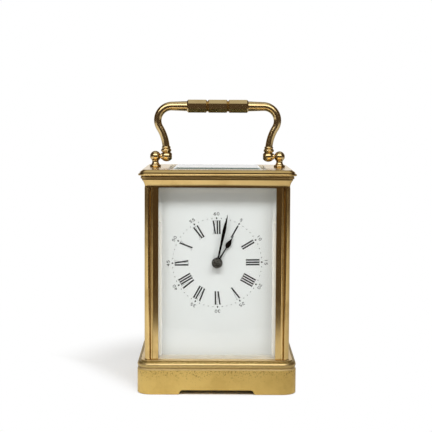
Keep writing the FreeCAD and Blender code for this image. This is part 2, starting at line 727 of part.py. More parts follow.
def knuckle():
    """The barrel that turns on the pivot: an arc turned about the pivot's axis, flat at both ends."""
    def at(u, radius):
        return Vec(KNUCKLE_OFFSET + u, 0, PIVOT_HEIGHT + radius)
    outer, inner = KNUCKLE_OUTER, -KNUCKLE_INNER
    flank, nose = at(outer, KNUCKLE_RADIUS - 0.85), at(inner, KNUCKLE_RADIUS - 1.35)
    edges = chain([at(inner, 0), at(outer, 0), flank])
    edges += [arc(flank, at((outer + inner) / 2, KNUCKLE_RADIUS), nose), line(nose, at(inner, 0))]
    return Part.Face(Part.Wire(edges)).revolve(Vec(0, 0, PIVOT_HEIGHT), Vec(1, 0, 0), 360)


def handle_arm():
    path, rings = arm_path()
    foot = rings[-1][0]
    grip_z = PIVOT_HEIGHT + HANDLE_REACH
    shell = Part.BRepOffsetAPI.MakePipeShell(path)
    for place, heading, radius in rings:
        shell.add(Part.Wire(Part.Circle(place, heading, radius).toShape()))
    shell.build()
    shell.makeSolid()
    rod = shell.shape()
    collar = Part.makeTorus(COLLAR_RADIUS - 0.95, 0.95, foot)
    bead = Part.makeTorus(COLLAR_RADIUS - 1.15, 0.75, foot + Vec(0, 0, 1.5))
    neck = rod_z(ROD_FOOT_RADIUS - 0.15, PIVOT_HEIGHT + 1.0, foot.z + 0.3, KNUCKLE_OFFSET, 0)
    shoulder = rod_x(SHOULDER_RADIUS, KNUCKLE_OFFSET, POST_OFFSET - POST_BALL_RADIUS - 0.05, 0, PIVOT_HEIGHT)
    spigot = rod_x(1.6, GRIP_LENGTH / 2 - 5.0, GRIP_LENGTH / 2 + 0.5, 0, grip_z)
    body = fused([rod, collar, bead, neck, knuckle(), shoulder, spigot])
    return cut(body, [rod_x(PIVOT_RADIUS + RUN, KNUCKLE_OFFSET - 1.6, KNUCKLE_OFFSET + 5, 0, PIVOT_HEIGHT)])


def handle_grip():
    grip_z = PIVOT_HEIGHT + HANDLE_REACH
    half = GRIP_LENGTH / 2
    third = GRIP_LENGTH / 6
    full, waist = GRIP_FLATS / 2, GRIP_FLATS / 2 - 0.8
    right = [(third - 0.7, full), (third, waist), (third + 0.7, full), (half - 0.7, full), (half, waist)]
    stations = [(-x, apothem) for x, apothem in right[::-1]] + right
    rings = []
    for x, apothem in stations:
        corner = apothem / math.cos(math.pi / 8)
        turns = [math.pi / 8 + index * math.pi / 4 for index in range(8)]
        rings.append(polygon([Vec(x, corner * math.cos(a), grip_z + corner * math.sin(a)) for a in turns]))
    body = Part.makeLoft(rings, True, True)
    socket = rod_x(1.6, half - 5.2, half + 1, 0, grip_z)
    return cut(body, [socket, mirror_x(socket)])


def handle_post():
    """The right-hand post: a bell foot, a thin neck and a ball, with a stud down into the cornice."""
    x = POST_OFFSET
    ball = PIVOT_RISE

    def at(radius, rise):
        return Vec(x + radius, 0, TOP + rise)
    neck_rise = ball - math.sqrt(POST_BALL_RADIUS ** 2 - POST_NECK_RADIUS ** 2)
    neck = at(POST_NECK_RADIUS, neck_rise)
    stud = STUD_RADIUS - 0.02
    foot = POST_FOOT_RADIUS
    crown = at(0, ball + POST_BALL_RADIUS)
    edges = [line(at(0, -4.8), at(stud, -4.8)), line(at(stud, -4.8), at(stud, 0)),
             line(at(stud, 0), at(foot - 0.2, 0)), arc(at(foot - 0.2, 0), at(foot, 0.6), at(foot - 0.2, 1.2)),
             line(at(foot - 0.2, 1.2), at(foot - 0.5, 1.2)),
             arc(at(foot - 0.5, 1.2), at(POST_NECK_RADIUS + 0.1, neck_rise * 0.6), neck),
             arc(neck, at(POST_BALL_RADIUS, ball), crown), line(crown, at(0, -4.8))]
    body = Part.Face(Part.Wire(edges)).revolve(Vec(x, 0, 0), Vec(0, 0, 1), 360)
    return cut(body, [rod_x(PIVOT_RADIUS, x - 5, x + 5, 0, PIVOT_HEIGHT)])


def handle_pivots():
    inner = KNUCKLE_OFFSET - 1.4
    pin = rod_x(PIVOT_RADIUS, inner, POST_OFFSET + POST_BALL_RADIUS - 0.1, 0, PIVOT_HEIGHT)
    return group([pin, mirror_x(pin)])


# Movement frame

def frame_places():
    x = PLATE_HALF - 5.0
    return [(sx * x, z) for sx in (-1, 1) for z in (FLOOR + 5.2, PLATE_TOP - 5.5)]


def dial_feet_places():
    return [(sx * 13.0, z) for sx in (-1, 1) for z in (FLOOR + 7.0, PLATE_TOP - 7.0)]


def platform_screw_places():
    x = PLATFORM_WIDTH / 2 - 3.0
    rows = (PLATE_FRONT + PLATE_THICKNESS / 2, PLATE_BACK - PLATE_THICKNESS / 2)
    return [(sx * x, y) for sx in (-1, 1) for y in rows]


PIVOTS = [(INTER, 0.7), (THIRD, 0.5), (CONTRATE, 0.5)]


def plate(y0, y1):
    slab = box(-PLATE_HALF, PLATE_HALF, y0, y1, FLOOR, PLATE_TOP)
    boxes = [(edge, edge.BoundBox) for edge in slab.Edges]
    corners = [edge for edge, bounds in boxes if bounds.YLength > 0.1 and bounds.ZMin > PLATE_TOP - 0.1]
    slab = slab.makeFillet(4.0, corners)
    holes = [rod_y(SCREW_RADIUS + 0.1, y0 - 1, y1 + 1, x, z) for x, z in frame_places()]
    holes += [rod_y(radius + RUN, y0 - 1, y1 + 1, *place) for place, radius in PIVOTS]
    tapped = [(x, y) for x, y in platform_screw_places() if y0 < y < y1]
    holes += [rod_z(0.6, PLATE_TOP - 4, PLATE_TOP + 1, x, y) for x, y in tapped]
    return slab, holes


def front_plate():
    slab, holes = plate(PLATE_FRONT, FRONT_INSIDE)
    holes.append(rod_y(1.5 + RUN, PLATE_FRONT - 1, FRONT_INSIDE + 1, *BARREL))
    holes.append(rod_y(1.5 + RUN, PLATE_FRONT - 1, FRONT_INSIDE + 1, *CENTRE))
    holes.append(rod_y(1.0, PLATE_FRONT - 1, FRONT_INSIDE + 1, *MINUTE_POST))
    holes += [rod_y(1.2, PLATE_FRONT - 1, FRONT_INSIDE + 1, x, z) for x, z in dial_feet_places()]
    return cut(slab, holes)


def back_plate():
    slab, holes = plate(BACK_INSIDE, PLATE_BACK)
    holes.append(rod_y(2.2 + RUN, BACK_INSIDE - 1, PLATE_BACK + 1, *BARREL))
    holes.append(rod_y(1.5 + RUN, BACK_INSIDE - 1, PLATE_BACK + 1, *CENTRE))
    holes.append(rod_y(0.9, BACK_INSIDE - 1, PLATE_BACK + 1, *click_pivot()))
    holes.append(rod_y(0.9, BACK_INSIDE - 1, PLATE_BACK + 1, *click_spring_foot()))
    return cut(slab, holes)


def frame_pillars():
    bars = []
    for x, z in frame_places():
        bar = rod_y(FRAME_PILLAR_RADIUS, FRONT_INSIDE, BACK_INSIDE, x, z)
        tools = [rod_y(SCREW_RADIUS, FRONT_INSIDE - 1, FRONT_INSIDE + 6, x, z),
                 rod_y(SCREW_RADIUS, BACK_INSIDE - 6, BACK_INSIDE + 1, x, z)]
        if z < CENTRE[1]:
            tools.append(rod_z(SCREW_RADIUS, z - 5, z + 1.6, x, (FRONT_INSIDE + BACK_INSIDE) / 2))
        bars.append(cut(bar, tools))
    return group(bars)


def plate_screws():
    screws = []
    head = 1.2
    for index, (x, z) in enumerate(frame_places()):
        front = [(PLATE_FRONT - head, PLATE_FRONT, 2.0), (PLATE_FRONT, FRONT_INSIDE + 5.5, SCREW_RADIUS)]
        back = [(BACK_INSIDE - 5.5, PLATE_BACK, SCREW_RADIUS), (PLATE_BACK, PLATE_BACK + head, 2.0)]
        turn = 20 + 55 * index
        near, far = PLATE_FRONT - head, PLATE_BACK + head
        screws.append(cut(turned_y(front, x, z), [slot_y(near - 0.1, near + SLOT_DEPTH, x, z, turn)]))
        screws.append(cut(turned_y(back, x, z), [slot_y(far - SLOT_DEPTH, far + 0.1, x, z, turn)]))
    return group(screws)


def seat_screws():
    stem = screw(SCREW_RADIUS, FLOOR_THICKNESS + 6.4, 2.2)
    return group([stem.translated(Vec(x, y, FLOOR - FLOOR_THICKNESS)) for x, y in seat_places()])


# Dial and hands

def dial():
    half = APERTURE + 1.0
    slab = box(-half, half, DIAL_FACE, DIAL_BACK, FLOOR + 0.6, CEILING - 0.5)
    return cut(slab, [rod_y(2.5, DIAL_FACE - 1, DIAL_BACK + 1, *CENTRE)])


def dial_feet():
    feet = []
    for x, z in dial_feet_places():
        feet.append(turned_y([(DIAL_BACK, PLATE_FRONT, 1.8), (PLATE_FRONT, FRONT_INSIDE - 0.2, 1.2)], x, z))
    return group(feet)


CANNON_FRONT = DIAL_FACE - 3.2
HOUR_PIPE_FRONT = DIAL_FACE - 1.6
MINUTE_HAND_BACK = DIAL_FACE - 2.4
HOUR_HAND_BACK = DIAL_FACE - 1.0
CANNON_LEVEL = PLATE_FRONT - 2.6
HOUR_LEVEL = PLATE_FRONT - 4.6


def hand(outline, boss, bore, angle, y_back):
    """A flat hand that points up before it is turned clockwise by angle, as seen from the front."""
    swing = math.radians(angle)
    blade = []
    for half, rise in outline + [(-half, rise) for half, rise in outline[::-1]]:
        x = half * math.cos(swing) + rise * math.sin(swing)
        z = rise * math.cos(swing) - half * math.sin(swing)
        blade.append((CENTRE[0] + x, CENTRE[1] + z))
    y_front = y_back - HAND_THICKNESS
    body = prism_y(blade, y_front, y_back).fuse(rod_y(boss, y_front, y_back, *CENTRE)).removeSplitter()
    return cut(body, [rod_y(bore, y_front - 1, y_back + 1, *CENTRE)])


def minute_hand():
    reach = MINUTE_REACH
    outline = [(0.42, 1.2), (0.46, 0.2 * reach), (0.58, 0.4 * reach), (0.72, 0.54 * reach),
               (0.84, 0.66 * reach), (0.74, 0.75 * reach), (0.48, 0.86 * reach), (0.1, reach)]
    return hand(outline, 2.2, 1.1, MINUTE_ANGLE, MINUTE_HAND_BACK)


def hour_hand():
    reach = HOUR_REACH
    outline = [(0.42, 1.6), (0.28, 0.35 * reach), (0.26, 0.56 * reach), (0.9, 0.6 * reach),
               (1.28, 0.66 * reach), (1.22, 0.72 * reach), (0.8, 0.79 * reach), (0.36, 0.86 * reach),
               (0.18, 0.92 * reach), (0.1, reach)]
    return hand(outline, 2.7, 1.9, HOUR_ANGLE, HOUR_HAND_BACK)


def hand_collet():
    front = MINUTE_HAND_BACK - HAND_THICKNESS
    rim = COLLET_RADIUS
    steps = [(front - 1.3, front - 1.0, 0.8), (front - 1.0, front - 0.5, rim - 0.75),
             (front - 0.5, front, rim)]
    body = turned_y(steps, *CENTRE)
    return cut(body, [rod_y(0.9, front - 0.9, front + 1, *CENTRE)])


def make_motion():
    cannon = Gear(CANNON_TEETH, MOTION_MODULE, CENTRE, 0.3, True)
    minute = cannon.mesh(MINUTE_TEETH, MOTION_MODULE, MINUTE_POST)
    leaf = Gear(MINUTE_PINION, HOUR_MODULE, MINUTE_POST, 0.2, True)
    hour = leaf.mesh(HOUR_TEETH, HOUR_MODULE, CENTRE)
    return cannon, minute, leaf, hour


def cannon_pinion():
    cannon = make_motion()[0]
    back = PLATE_FRONT - 0.3
    steps = [(MINUTE_HAND_BACK - HAND_THICKNESS, MINUTE_HAND_BACK, 1.1), (MINUTE_HAND_BACK, back, 1.4)]
    pipe = turned_y(steps, *CENTRE)
    leaves = prism_y(cannon.outline(), CANNON_LEVEL, back)
    return cut(fused([pipe, leaves]), [rod_y(0.9, CANNON_FRONT - 1, back + 1, *CENTRE)])


def minute_wheel():
    minute, leaf = make_motion()[1:3]
    y0 = CANNON_LEVEL + 0.4
    disc = wheel(minute, y0, y0 + 1.2, 1.0 + RUN, 2.4, 0.8, 4, 1.0)
    front = HOUR_LEVEL - 0.4
    bore = circle_y(1.0 + RUN, MINUTE_POST[0], front, MINUTE_POST[1])
    return fused([disc, prism_y(leaf.outline(), front, y0, [bore])])


def minute_post():
    steps = [(HOUR_LEVEL - 1.0, HOUR_LEVEL - 0.55, 1.3), (HOUR_LEVEL - 0.55, FRONT_INSIDE - 0.2, 1.0)]
    return turned_y(steps, *MINUTE_POST)


def hour_wheel():
    hour = make_motion()[3]
    disc = wheel(hour, HOUR_LEVEL, HOUR_LEVEL + 1.2, 1.4 + RUN + 0.02, 3.2, 1.0, 4, 1.2)
    pipe = rod_y(1.9, HOUR_HAND_BACK - HAND_THICKNESS, HOUR_LEVEL + 0.5, *CENTRE)
    pipe = cut(pipe, [rod_y(1.4 + RUN + 0.02, HOUR_PIPE_FRONT - 1, HOUR_LEVEL + 2, *CENTRE)])
    return fused([disc, pipe])


# Going train

def make_train():
    great = Gear(GREAT_TEETH, GREAT_MODULE, BARREL)
    inter_leaf = great.mesh(INTER_PINION, GREAT_MODULE, INTER, True)
    inter = Gear(INTER_TEETH, INTER_MODULE, INTER)
    centre_leaf = inter.mesh(CENTRE_PINION, INTER_MODULE, CENTRE, True)
    centre = Gear(CENTRE_TEETH, CENTRE_MODULE, CENTRE)
    third_leaf = centre.mesh(THIRD_PINION, CENTRE_MODULE, THIRD, True)
    third = Gear(THIRD_TEETH, THIRD_MODULE, THIRD)
    contrate_leaf = third.mesh(CONTRATE_PINION, THIRD_MODULE, CONTRATE, True)
    return {"great": great, "inter_leaf": inter_leaf, "inter": inter, "centre_leaf": centre_leaf,
            "centre": centre, "third_leaf": third_leaf, "third": third, "contrate_leaf": contrate_leaf}


TRAIN = make_train()


def barrel():
    great = TRAIN["great"]
    toothed = prism_y(great.outline(), GREAT_LEVEL, GREAT_LEVEL + 2.0)
    drum = rod_y(DRUM_RADIUS, BARREL_FRONT, GREAT_LEVEL, *BARREL)
    body = toothed.fuse(drum).removeSplitter()
    room = rod_y(DRUM_RADIUS - DRUM_WALL, BARREL_FRONT - 1, GREAT_LEVEL, *BARREL)
    return cut(body, [room, rod_y(BARREL_CORE - 0.6 + RUN, GREAT_LEVEL - 1, GREAT_LEVEL + 3, *BARREL)])


def barrel_cap():
    lid = rod_y(DRUM_RADIUS - DRUM_WALL, BARREL_FRONT, BARREL_FRONT + 1.2, *BARREL)
    return cut(lid, [rod_y(BARREL_CORE - 0.6 + RUN, BARREL_FRONT - 1, BARREL_FRONT + 3, *BARREL)])


def barrel_arbor():
    inside = (BARREL_FRONT + 1.4, GREAT_LEVEL - 0.2)
    steps = [(PLATE_FRONT + 0.3, FRONT_INSIDE + 0.2, 1.5),
             (FRONT_INSIDE + 0.2, inside[0], BARREL_CORE - 0.6),
             (inside[0], inside[1], BARREL_CORE), (inside[1], BACK_INSIDE - 0.2, BARREL_CORE - 0.6),
             (BACK_INSIDE - 0.2, PLATE_BACK + 0.4, 2.2), (PLATE_BACK + 0.4, PLATE_BACK + 2.2, 1.9)]
    key = square_y(WINDING_SQUARE, PLATE_BACK + 2.2, DOOR_INNER - 3.0, *BARREL)
    return fused([turned_y(steps, *BARREL), key])


def mainspring():
    """A wound strip made of half turns whose radius grows by half a pitch at each."""
    inner = BARREL_CORE + 0.5
    outer = DRUM_RADIUS - DRUM_WALL - 0.4
    pitch = (outer - inner - SPRING_STRIP) / SPRING_TURNS
    x, z = BARREL
    y0, y1 = BARREL_FRONT + 2.0, GREAT_LEVEL - 0.8

    def side(start):
        edges = []
        here = start
        for turn in range(2 * SPRING_TURNS):
            radius = start + pitch * (turn + 0.5) / 2
            sign = 1 if turn % 2 == 0 else -1
            there = here - sign * 2 * radius
            top = Vec(x + (here + there) / 2, y0, z + sign * radius)
            edges.append(arc(Vec(x + here, y0, z), top, Vec(x + there, y0, z)))
            here = there
        return edges
    low, high = side(inner), side(inner + SPRING_STRIP)
    ends = [line(low[0].Vertexes[0].Point, high[0].Vertexes[0].Point),
            line(low[-1].Vertexes[1].Point, high[-1].Vertexes[1].Point)]
    outline = Part.Wire(Part.__sortEdges__(low + high + ends))
    return Part.Face(outline).extrude(Vec(0, y1 - y0, 0))


def ratchet_wheel():
    """Saw teeth whose steep face looks clockwise, seen from the front, with one steep face at the top."""
    points = []
    for tooth in range(RATCHET_TEETH):
        steep = math.pi / 2 - tooth * 2 * math.pi / RATCHET_TEETH
        for radius in (RATCHET_RADIUS, RATCHET_RADIUS - RATCHET_DEPTH):
            x, z = polar(radius, steep)
            points.append((BARREL[0] + x, BARREL[1] + z))
    y0 = PLATE_BACK + 0.5
    return prism_y(points, y0, y0 + 1.5, [circle_y(1.9, BARREL[0], y0, BARREL[1])])


def click_pivot():
    return BARREL[0] + CLICK_LENGTH, BARREL[1] + RATCHET_RADIUS + 1.7


def click_spring_foot():
    return BARREL[0] + CLICK_SPRING_REACH, BARREL[1] + RATCHET_RADIUS + CLICK_SPRING_RISE


def click():
    """A pawl held just above the tooth tips, as when it rides over them during winding."""
    px, pz = click_pivot()
    tip_z = BARREL[1] + RATCHET_RADIUS + 0.14
    y0 = PLATE_BACK + 0.6
    left = px - CLICK_LENGTH
    beak = [(left, tip_z), (left + 0.45, tip_z), (left + 0.95, pz - 0.75), (px, pz - 1.2), (px, pz + 1.2),
            (left + 0.3, pz + 0.5)]
    body = prism_y(beak, y0, y0 + 1.2).fuse(rod_y(1.6, y0, y0 + 1.2, px, pz)).removeSplitter()
    return cut(body, [rod_y(0.9 + RUN, y0 - 1, y0 + 2, px, pz)])


def click_screw():
    y0 = PLATE_BACK + 0.6
    y1 = y0 + 2.2
    body = turned_y([(BACK_INSIDE + 0.2, y0 + 1.3, 0.9), (y0 + 1.3, y1, 1.6)], *click_pivot())
    return cut(body, [slot_y(y1 - SLOT_DEPTH, y1 + 0.1, *click_pivot(), 35)])


def click_spring():
    """A bent steel blade from its foot down to just above the pawl's back."""
    fx, fz = click_spring_foot()
    px, pz = click_pivot()
    y0 = PLATE_BACK
    near = (px - 3.2, pz + 1.25)
    blade = [(fx, fz - 0.3), (fx, fz + 0.3), (px + 0.5, pz + 2.6), (near[0] - 0.2, near[1] + 0.5), near,
             (px + 0.6, pz + 2.1)]
    foot = turned_y([(BACK_INSIDE + 0.2, y0, 0.9), (y0, y0 + 2.0, 1.5)], fx, fz)
    return fused([prism_y(blade, y0 + 0.6, y0 + 1.6), foot])


def arbor_steps(pivot, core, seat_from, seat_to, seat):
    """Pivot, core, wheel seat, core and pivot between the plates."""
    return [(PLATE_FRONT + 0.2, FRONT_INSIDE + 0.1, pivot), (FRONT_INSIDE + 0.1, seat_from, core),
            (seat_from, seat_to, seat), (seat_to, BACK_INSIDE - 0.1, core),
            (BACK_INSIDE - 0.1, PLATE_BACK - 0.2, pivot)]


INTER_SEAT = 2.0
CENTRE_SEAT = 1.8
THIRD_SEAT = 1.1
CONTRATE_SEAT = 1.1


def intermediate_arbor():
    steps = arbor_steps(0.7, 1.5, INTER_LEVEL, INTER_LEVEL + WHEEL_THICKNESS, INTER_SEAT)
    return pinion_arbor(steps, TRAIN["inter_leaf"], GREAT_LEVEL - 0.8, GREAT_LEVEL + 2.8)


def intermediate_wheel():
    return wheel(TRAIN["inter"], INTER_LEVEL, INTER_LEVEL + WHEEL_THICKNESS, INTER_SEAT, 3.4, 1.4)


def centre_arbor():
    wheel_back = CENTRE_LEVEL + WHEEL_THICKNESS
    steps = [(MINUTE_HAND_BACK - HAND_THICKNESS - 0.8, PLATE_FRONT - 0.3, 0.9),
             (PLATE_FRONT - 0.3, FRONT_INSIDE + 0.1, 1.5), (FRONT_INSIDE + 0.1, CENTRE_LEVEL, 1.35),
             (CENTRE_LEVEL, wheel_back, CENTRE_SEAT), (wheel_back, BACK_INSIDE - 0.1, 1.35),
             (BACK_INSIDE - 0.1, PLATE_BACK + 0.6, 1.5)]
    key = square_y(SETTING_SQUARE, PLATE_BACK + 0.6, DOOR_INNER - 5.0, *CENTRE)
    leaves = prism_y(TRAIN["centre_leaf"].outline(), INTER_LEVEL - 1.2, INTER_LEVEL + WHEEL_THICKNESS + 1.2)
    return fused([turned_y(steps, *CENTRE), key, leaves])


def centre_wheel():
    return wheel(TRAIN["centre"], CENTRE_LEVEL, CENTRE_LEVEL + WHEEL_THICKNESS, CENTRE_SEAT, 3.0, 1.3)


def third_arbor():
    steps = arbor_steps(0.5, 0.85, THIRD_LEVEL, THIRD_LEVEL + WHEEL_THICKNESS, THIRD_SEAT)
    front, back = CENTRE_LEVEL - 1.0, CENTRE_LEVEL + WHEEL_THICKNESS + 1.0
    return pinion_arbor(steps, TRAIN["third_leaf"], front, back)


def third_wheel():
    return wheel(TRAIN["third"], THIRD_LEVEL, THIRD_LEVEL + WHEEL_THICKNESS, THIRD_SEAT, 2.4, 1.2)


def contrate_arbor():
    steps = arbor_steps(0.5, 0.8, CROWN_ROOT, CROWN_ROOT + WHEEL_THICKNESS, CONTRATE_SEAT)
    front, back = THIRD_LEVEL - 1.0, THIRD_LEVEL + WHEEL_THICKNESS + 1.0
    return pinion_arbor(steps, TRAIN["contrate_leaf"], front, back)


def contrate_wheel():
    """A wheel whose teeth stand up from its rim like a crown, towards the front."""
    inner, outer = CONTRATE_RADIUS - CROWN_WIDTH / 2, CONTRATE_RADIUS + CROWN_WIDTH / 2
    x, z = CONTRATE
    rim = Gear(CONTRATE_TEETH, CONTRATE_MODULE, CONTRATE)
    rim.root = inner
    y0, y1 = CROWN_ROOT, CROWN_ROOT + WHEEL_THICKNESS
    holes = crossings(rim, y0, 2.4, 0.4, 4, 1.4) + [circle_y(CONTRATE_SEAT, x, y0, z)]
    disc = face_of([circle_y(outer, x, y0, z)] + holes).extrude(Vec(0, y1 - y0, 0))
    foot, head = 0.78 * CONTRATE_MODULE, 0.4 * CONTRATE_MODULE
    profile = [(-foot, CROWN_ROOT + 0.05), (-head, CROWN_TIP), (head, CROWN_TIP), (foot, CROWN_ROOT + 0.05)]
    tooth = face_of([polygon([Vec(x + across, y, z + inner) for across, y in profile])])
    tooth = tooth.extrude(Vec(0, 0, CROWN_WIDTH - 0.05))
    teeth = []
    for index in range(CONTRATE_TEETH):
        one = tooth.copy()
        # a gap stands under the escape pinion
        one.rotate(Vec(x, 0, z), Vec(0, 1, 0), (index + 0.5) * 360.0 / CONTRATE_TEETH)
        teeth.append(one)
    return fused([disc] + teeth)


# Platform escapement

PALLET_X = ESCAPE_X - ESCAPE_RADIUS / math.cos(math.radians(30))
BALANCE_X = PALLET_X - FORK_REACH + 0.35 - (ROLLER_RADIUS - 0.3)
ESCAPE_LEVEL = PLATFORM_TOP + 2.0
ROLLER_LEVEL = ESCAPE_LEVEL + 1.2
BALANCE_LEVEL = PLATFORM_TOP + 5.6
COCK_LEVEL = PLATFORM_TOP + 8.2
PINION_LOW = CONTRATE[1] + CONTRATE_RADIUS - 1.8


def shifted(points, x, y):
    return [(x + px, y + py) for px, py in points]


def platform():
    half = PLATFORM_WIDTH / 2
    slab = box(-half, half, PLATE_FRONT, PLATE_BACK, PLATE_TOP, PLATFORM_TOP)
    y = ESCAPE_Y
    arm = box(ESCAPE_X - 1.4, ESCAPE_X + 1.4, y - 4.6, y - 2.6, PINION_LOW - 1.8, PLATE_TOP)
    shelf = box(ESCAPE_X - 1.4, ESCAPE_X + 1.4, y - 4.6, y + 0.55, PINION_LOW - 1.8, PINION_LOW - 0.2)
    bank = (0.25, PLATFORM_TOP - 0.5, ESCAPE_LEVEL + 0.6, PALLET_X - 3.0)
    banks = [rod_z(*bank, y + side * 0.98) for side in (-1, 1)]
    body = fused([slab, arm, shelf] + banks)
    under, over = PLATE_TOP - 1, PLATFORM_TOP + 1
    holes = [rod_z(0.7, under, over, x, row) for x, row in platform_screw_places()]
    holes += [rod_z(1.1, under, over, ESCAPE_X, y),
              rod_z(0.25 + RUN, PINION_LOW - 3, PINION_LOW, ESCAPE_X, y),
              rod_z(0.25 + RUN, under, over, PALLET_X, y), rod_z(0.25 + RUN, under, over, BALANCE_X, y)]
    return cut(body, holes)


def platform_screws():
    top = PLATFORM_TOP + 0.8
    steps = [(PLATE_TOP - 3.6, PLATFORM_TOP, 0.58), (PLATFORM_TOP, top, 1.4)]
    screws = []
    for index, (x, y) in enumerate(platform_screw_places()):
        slot = slot_z(top - SLOT_DEPTH, top + 0.1, x, y, 15 + 70 * index)
        screws.append(cut(turned_z(steps, x, y), [slot]))
    return group(screws)


def escape_wheel():
    """Escape wheel and pinion on one arbor. A tooth gap faces each pallet."""
    x, y = ESCAPE_X, ESCAPE_Y
    points = []
    pitch = 2 * math.pi / ESCAPE_TEETH
    first = math.radians(150) - pitch / 4
    for tooth in range(ESCAPE_TEETH):
        middle = first + tooth * pitch
        tip, root = ESCAPE_RADIUS, ESCAPE_RADIUS - 0.95
        for radius, turn in ((root, -0.42), (tip - 0.04, -0.05), (tip, 0.05), (root, 0.1)):
            points.append(polar(radius, middle + turn * pitch))
    disc = prism_z(shifted(points, x, y), ESCAPE_LEVEL, ESCAPE_LEVEL + 0.5)
    leaf = Gear(ESCAPE_PINION, CONTRATE_MODULE, (x, y), -math.pi / 2 + math.pi * 2 / ESCAPE_PINION, True)
    pinion = prism_z(leaf.outline(), PINION_LOW, PLATE_TOP - 0.6)
    core = turned_z([(PINION_LOW - 1.6, PINION_LOW, 0.25), (PINION_LOW, ESCAPE_LEVEL + 1.2, 0.75),
                     (ESCAPE_LEVEL + 1.2, ESCAPE_LEVEL + 2.4, 0.25)], x, y)
    return fused([disc, pinion, core])


def pallet_lever():
    """Fork, lever and two pallets on one arbor, both pallets just clear of the escape wheel's tips."""
    x, y = PALLET_X, ESCAPE_Y
    z0, z1 = ESCAPE_LEVEL, ESCAPE_LEVEL + 0.5
    fork = -FORK_REACH
    upper = [(0.6, 0.35), (fork + 1.2, 0.35), (fork + 0.9, 0.75), (fork, 0.75), (fork, 0.3),
             (fork + 0.7, 0.3)]
    stem = upper + [(px, -py) for px, py in upper[::-1]]
    parts = [prism_z(shifted(stem, x, y), z0, z1)]
    clear = ESCAPE_RADIUS + 0.08
    for side in (-1, 1):
        towards = math.radians(180 - side * 30)
        ux, uy = math.cos(towards), math.sin(towards)
        ax, ay = -uy, ux
        wide = 0.19
        stone = []
        for radius, across in ((clear, -wide), (clear, wide), (clear + 1.0, wide), (clear + 1.0, -wide)):
            stone.append((ESCAPE_X + radius * ux + across * ax, y + radius * uy + across * ay))
        parts.append(prism_z(stone, z0 - 0.1, z1 + 0.1))
        end = (ESCAPE_X + (clear + 0.65) * ux - x, (clear + 0.65) * uy)
        arm = [(-0.5, 0.0), (0.4, side * 0.1), (end[0] + 0.15, end[1]), (end[0] - 0.2, end[1] + side * 0.3),
               (end[0] - 0.7, end[1])]
        parts.append(prism_z(shifted(arm, x, y), z0, z1))
    shoulder, top = PLATFORM_TOP + 0.4, ESCAPE_LEVEL + 1.2
    arbor = [(PLATFORM_TOP - 1.2, shoulder, 0.25), (shoulder, top, 0.5), (top, top + 1.2, 0.25)]
    return fused(parts + [turned_z(arbor, x, y)])


def escape_cock():
    """A bridge over the escape wheel and the pallets, standing on a foot at its right-hand end."""
    y = ESCAPE_Y
    z0 = ESCAPE_LEVEL + 1.3
    foot_x = ESCAPE_X + ESCAPE_RADIUS + 0.8
    right = PLATFORM_WIDTH / 2 - 0.6
    half = [(right, 3.0), (foot_x, 3.0), (PALLET_X, 1.5), (PALLET_X - 1.2, 0.8)]
    arm = [(x, y + across) for x, across in half] + [(x, y - across) for x, across in half[::-1]]
    body = fused([prism_z(arm, z0, z0 + 1.3), box(foot_x, right, y - 3.0, y + 3.0, PLATFORM_TOP, z0 + 0.5)])
    return cut(body, [rod_z(0.25 + RUN, z0 - 1, z0 + 3, x, y) for x in (ESCAPE_X, PALLET_X)])


def balance_wheel():
    x, y = BALANCE_X, ESCAPE_Y
    rim = rod_z(BALANCE_RADIUS, BALANCE_LEVEL, BALANCE_LEVEL + 1.0, x, y)
    rim = cut(rim, [rod_z(BALANCE_RADIUS - 0.8, BALANCE_LEVEL - 1, BALANCE_LEVEL + 2, x, y)])
    half = BALANCE_RADIUS - 0.4
    bar = box(x - 0.7, x + 0.7, y - half, y + half, BALANCE_LEVEL + 0.1, BALANCE_LEVEL + 0.8)
    ends = [(PLATFORM_TOP + 0.4, 0.25), (ROLLER_LEVEL, 0.5), (ROLLER_LEVEL + 0.5, ROLLER_RADIUS),
            (BALANCE_LEVEL - 0.2, 0.6), (BALANCE_LEVEL + 1.0, 1.3), (COCK_LEVEL - 0.6, 0.7),
            (COCK_LEVEL - 0.1, 0.5), (COCK_LEVEL + 1.2, 0.25)]
    starts = [PLATFORM_TOP - 1.2] + [end for end, radius in ends]
    staff = turned_z([(start, end, radius) for start, (end, radius) in zip(starts, ends)], x, y)
    pin = rod_z(0.2, ESCAPE_LEVEL + 0.62, ROLLER_LEVEL + 0.2, x + ROLLER_RADIUS - 0.3, y)
    screws = []
    for index in range(8):
        turn = math.radians(22.5 + index * 45)
        ux, uy = polar(1.0, turn)
        reach = BALANCE_RADIUS - 0.3
        start = Vec(x + reach * ux, y + reach * uy, BALANCE_LEVEL + 0.5)
        screws.append(Part.makeCylinder(0.42, 0.95, start, Vec(ux, uy, 0)))
    return fused([rim, bar, staff, pin] + screws)


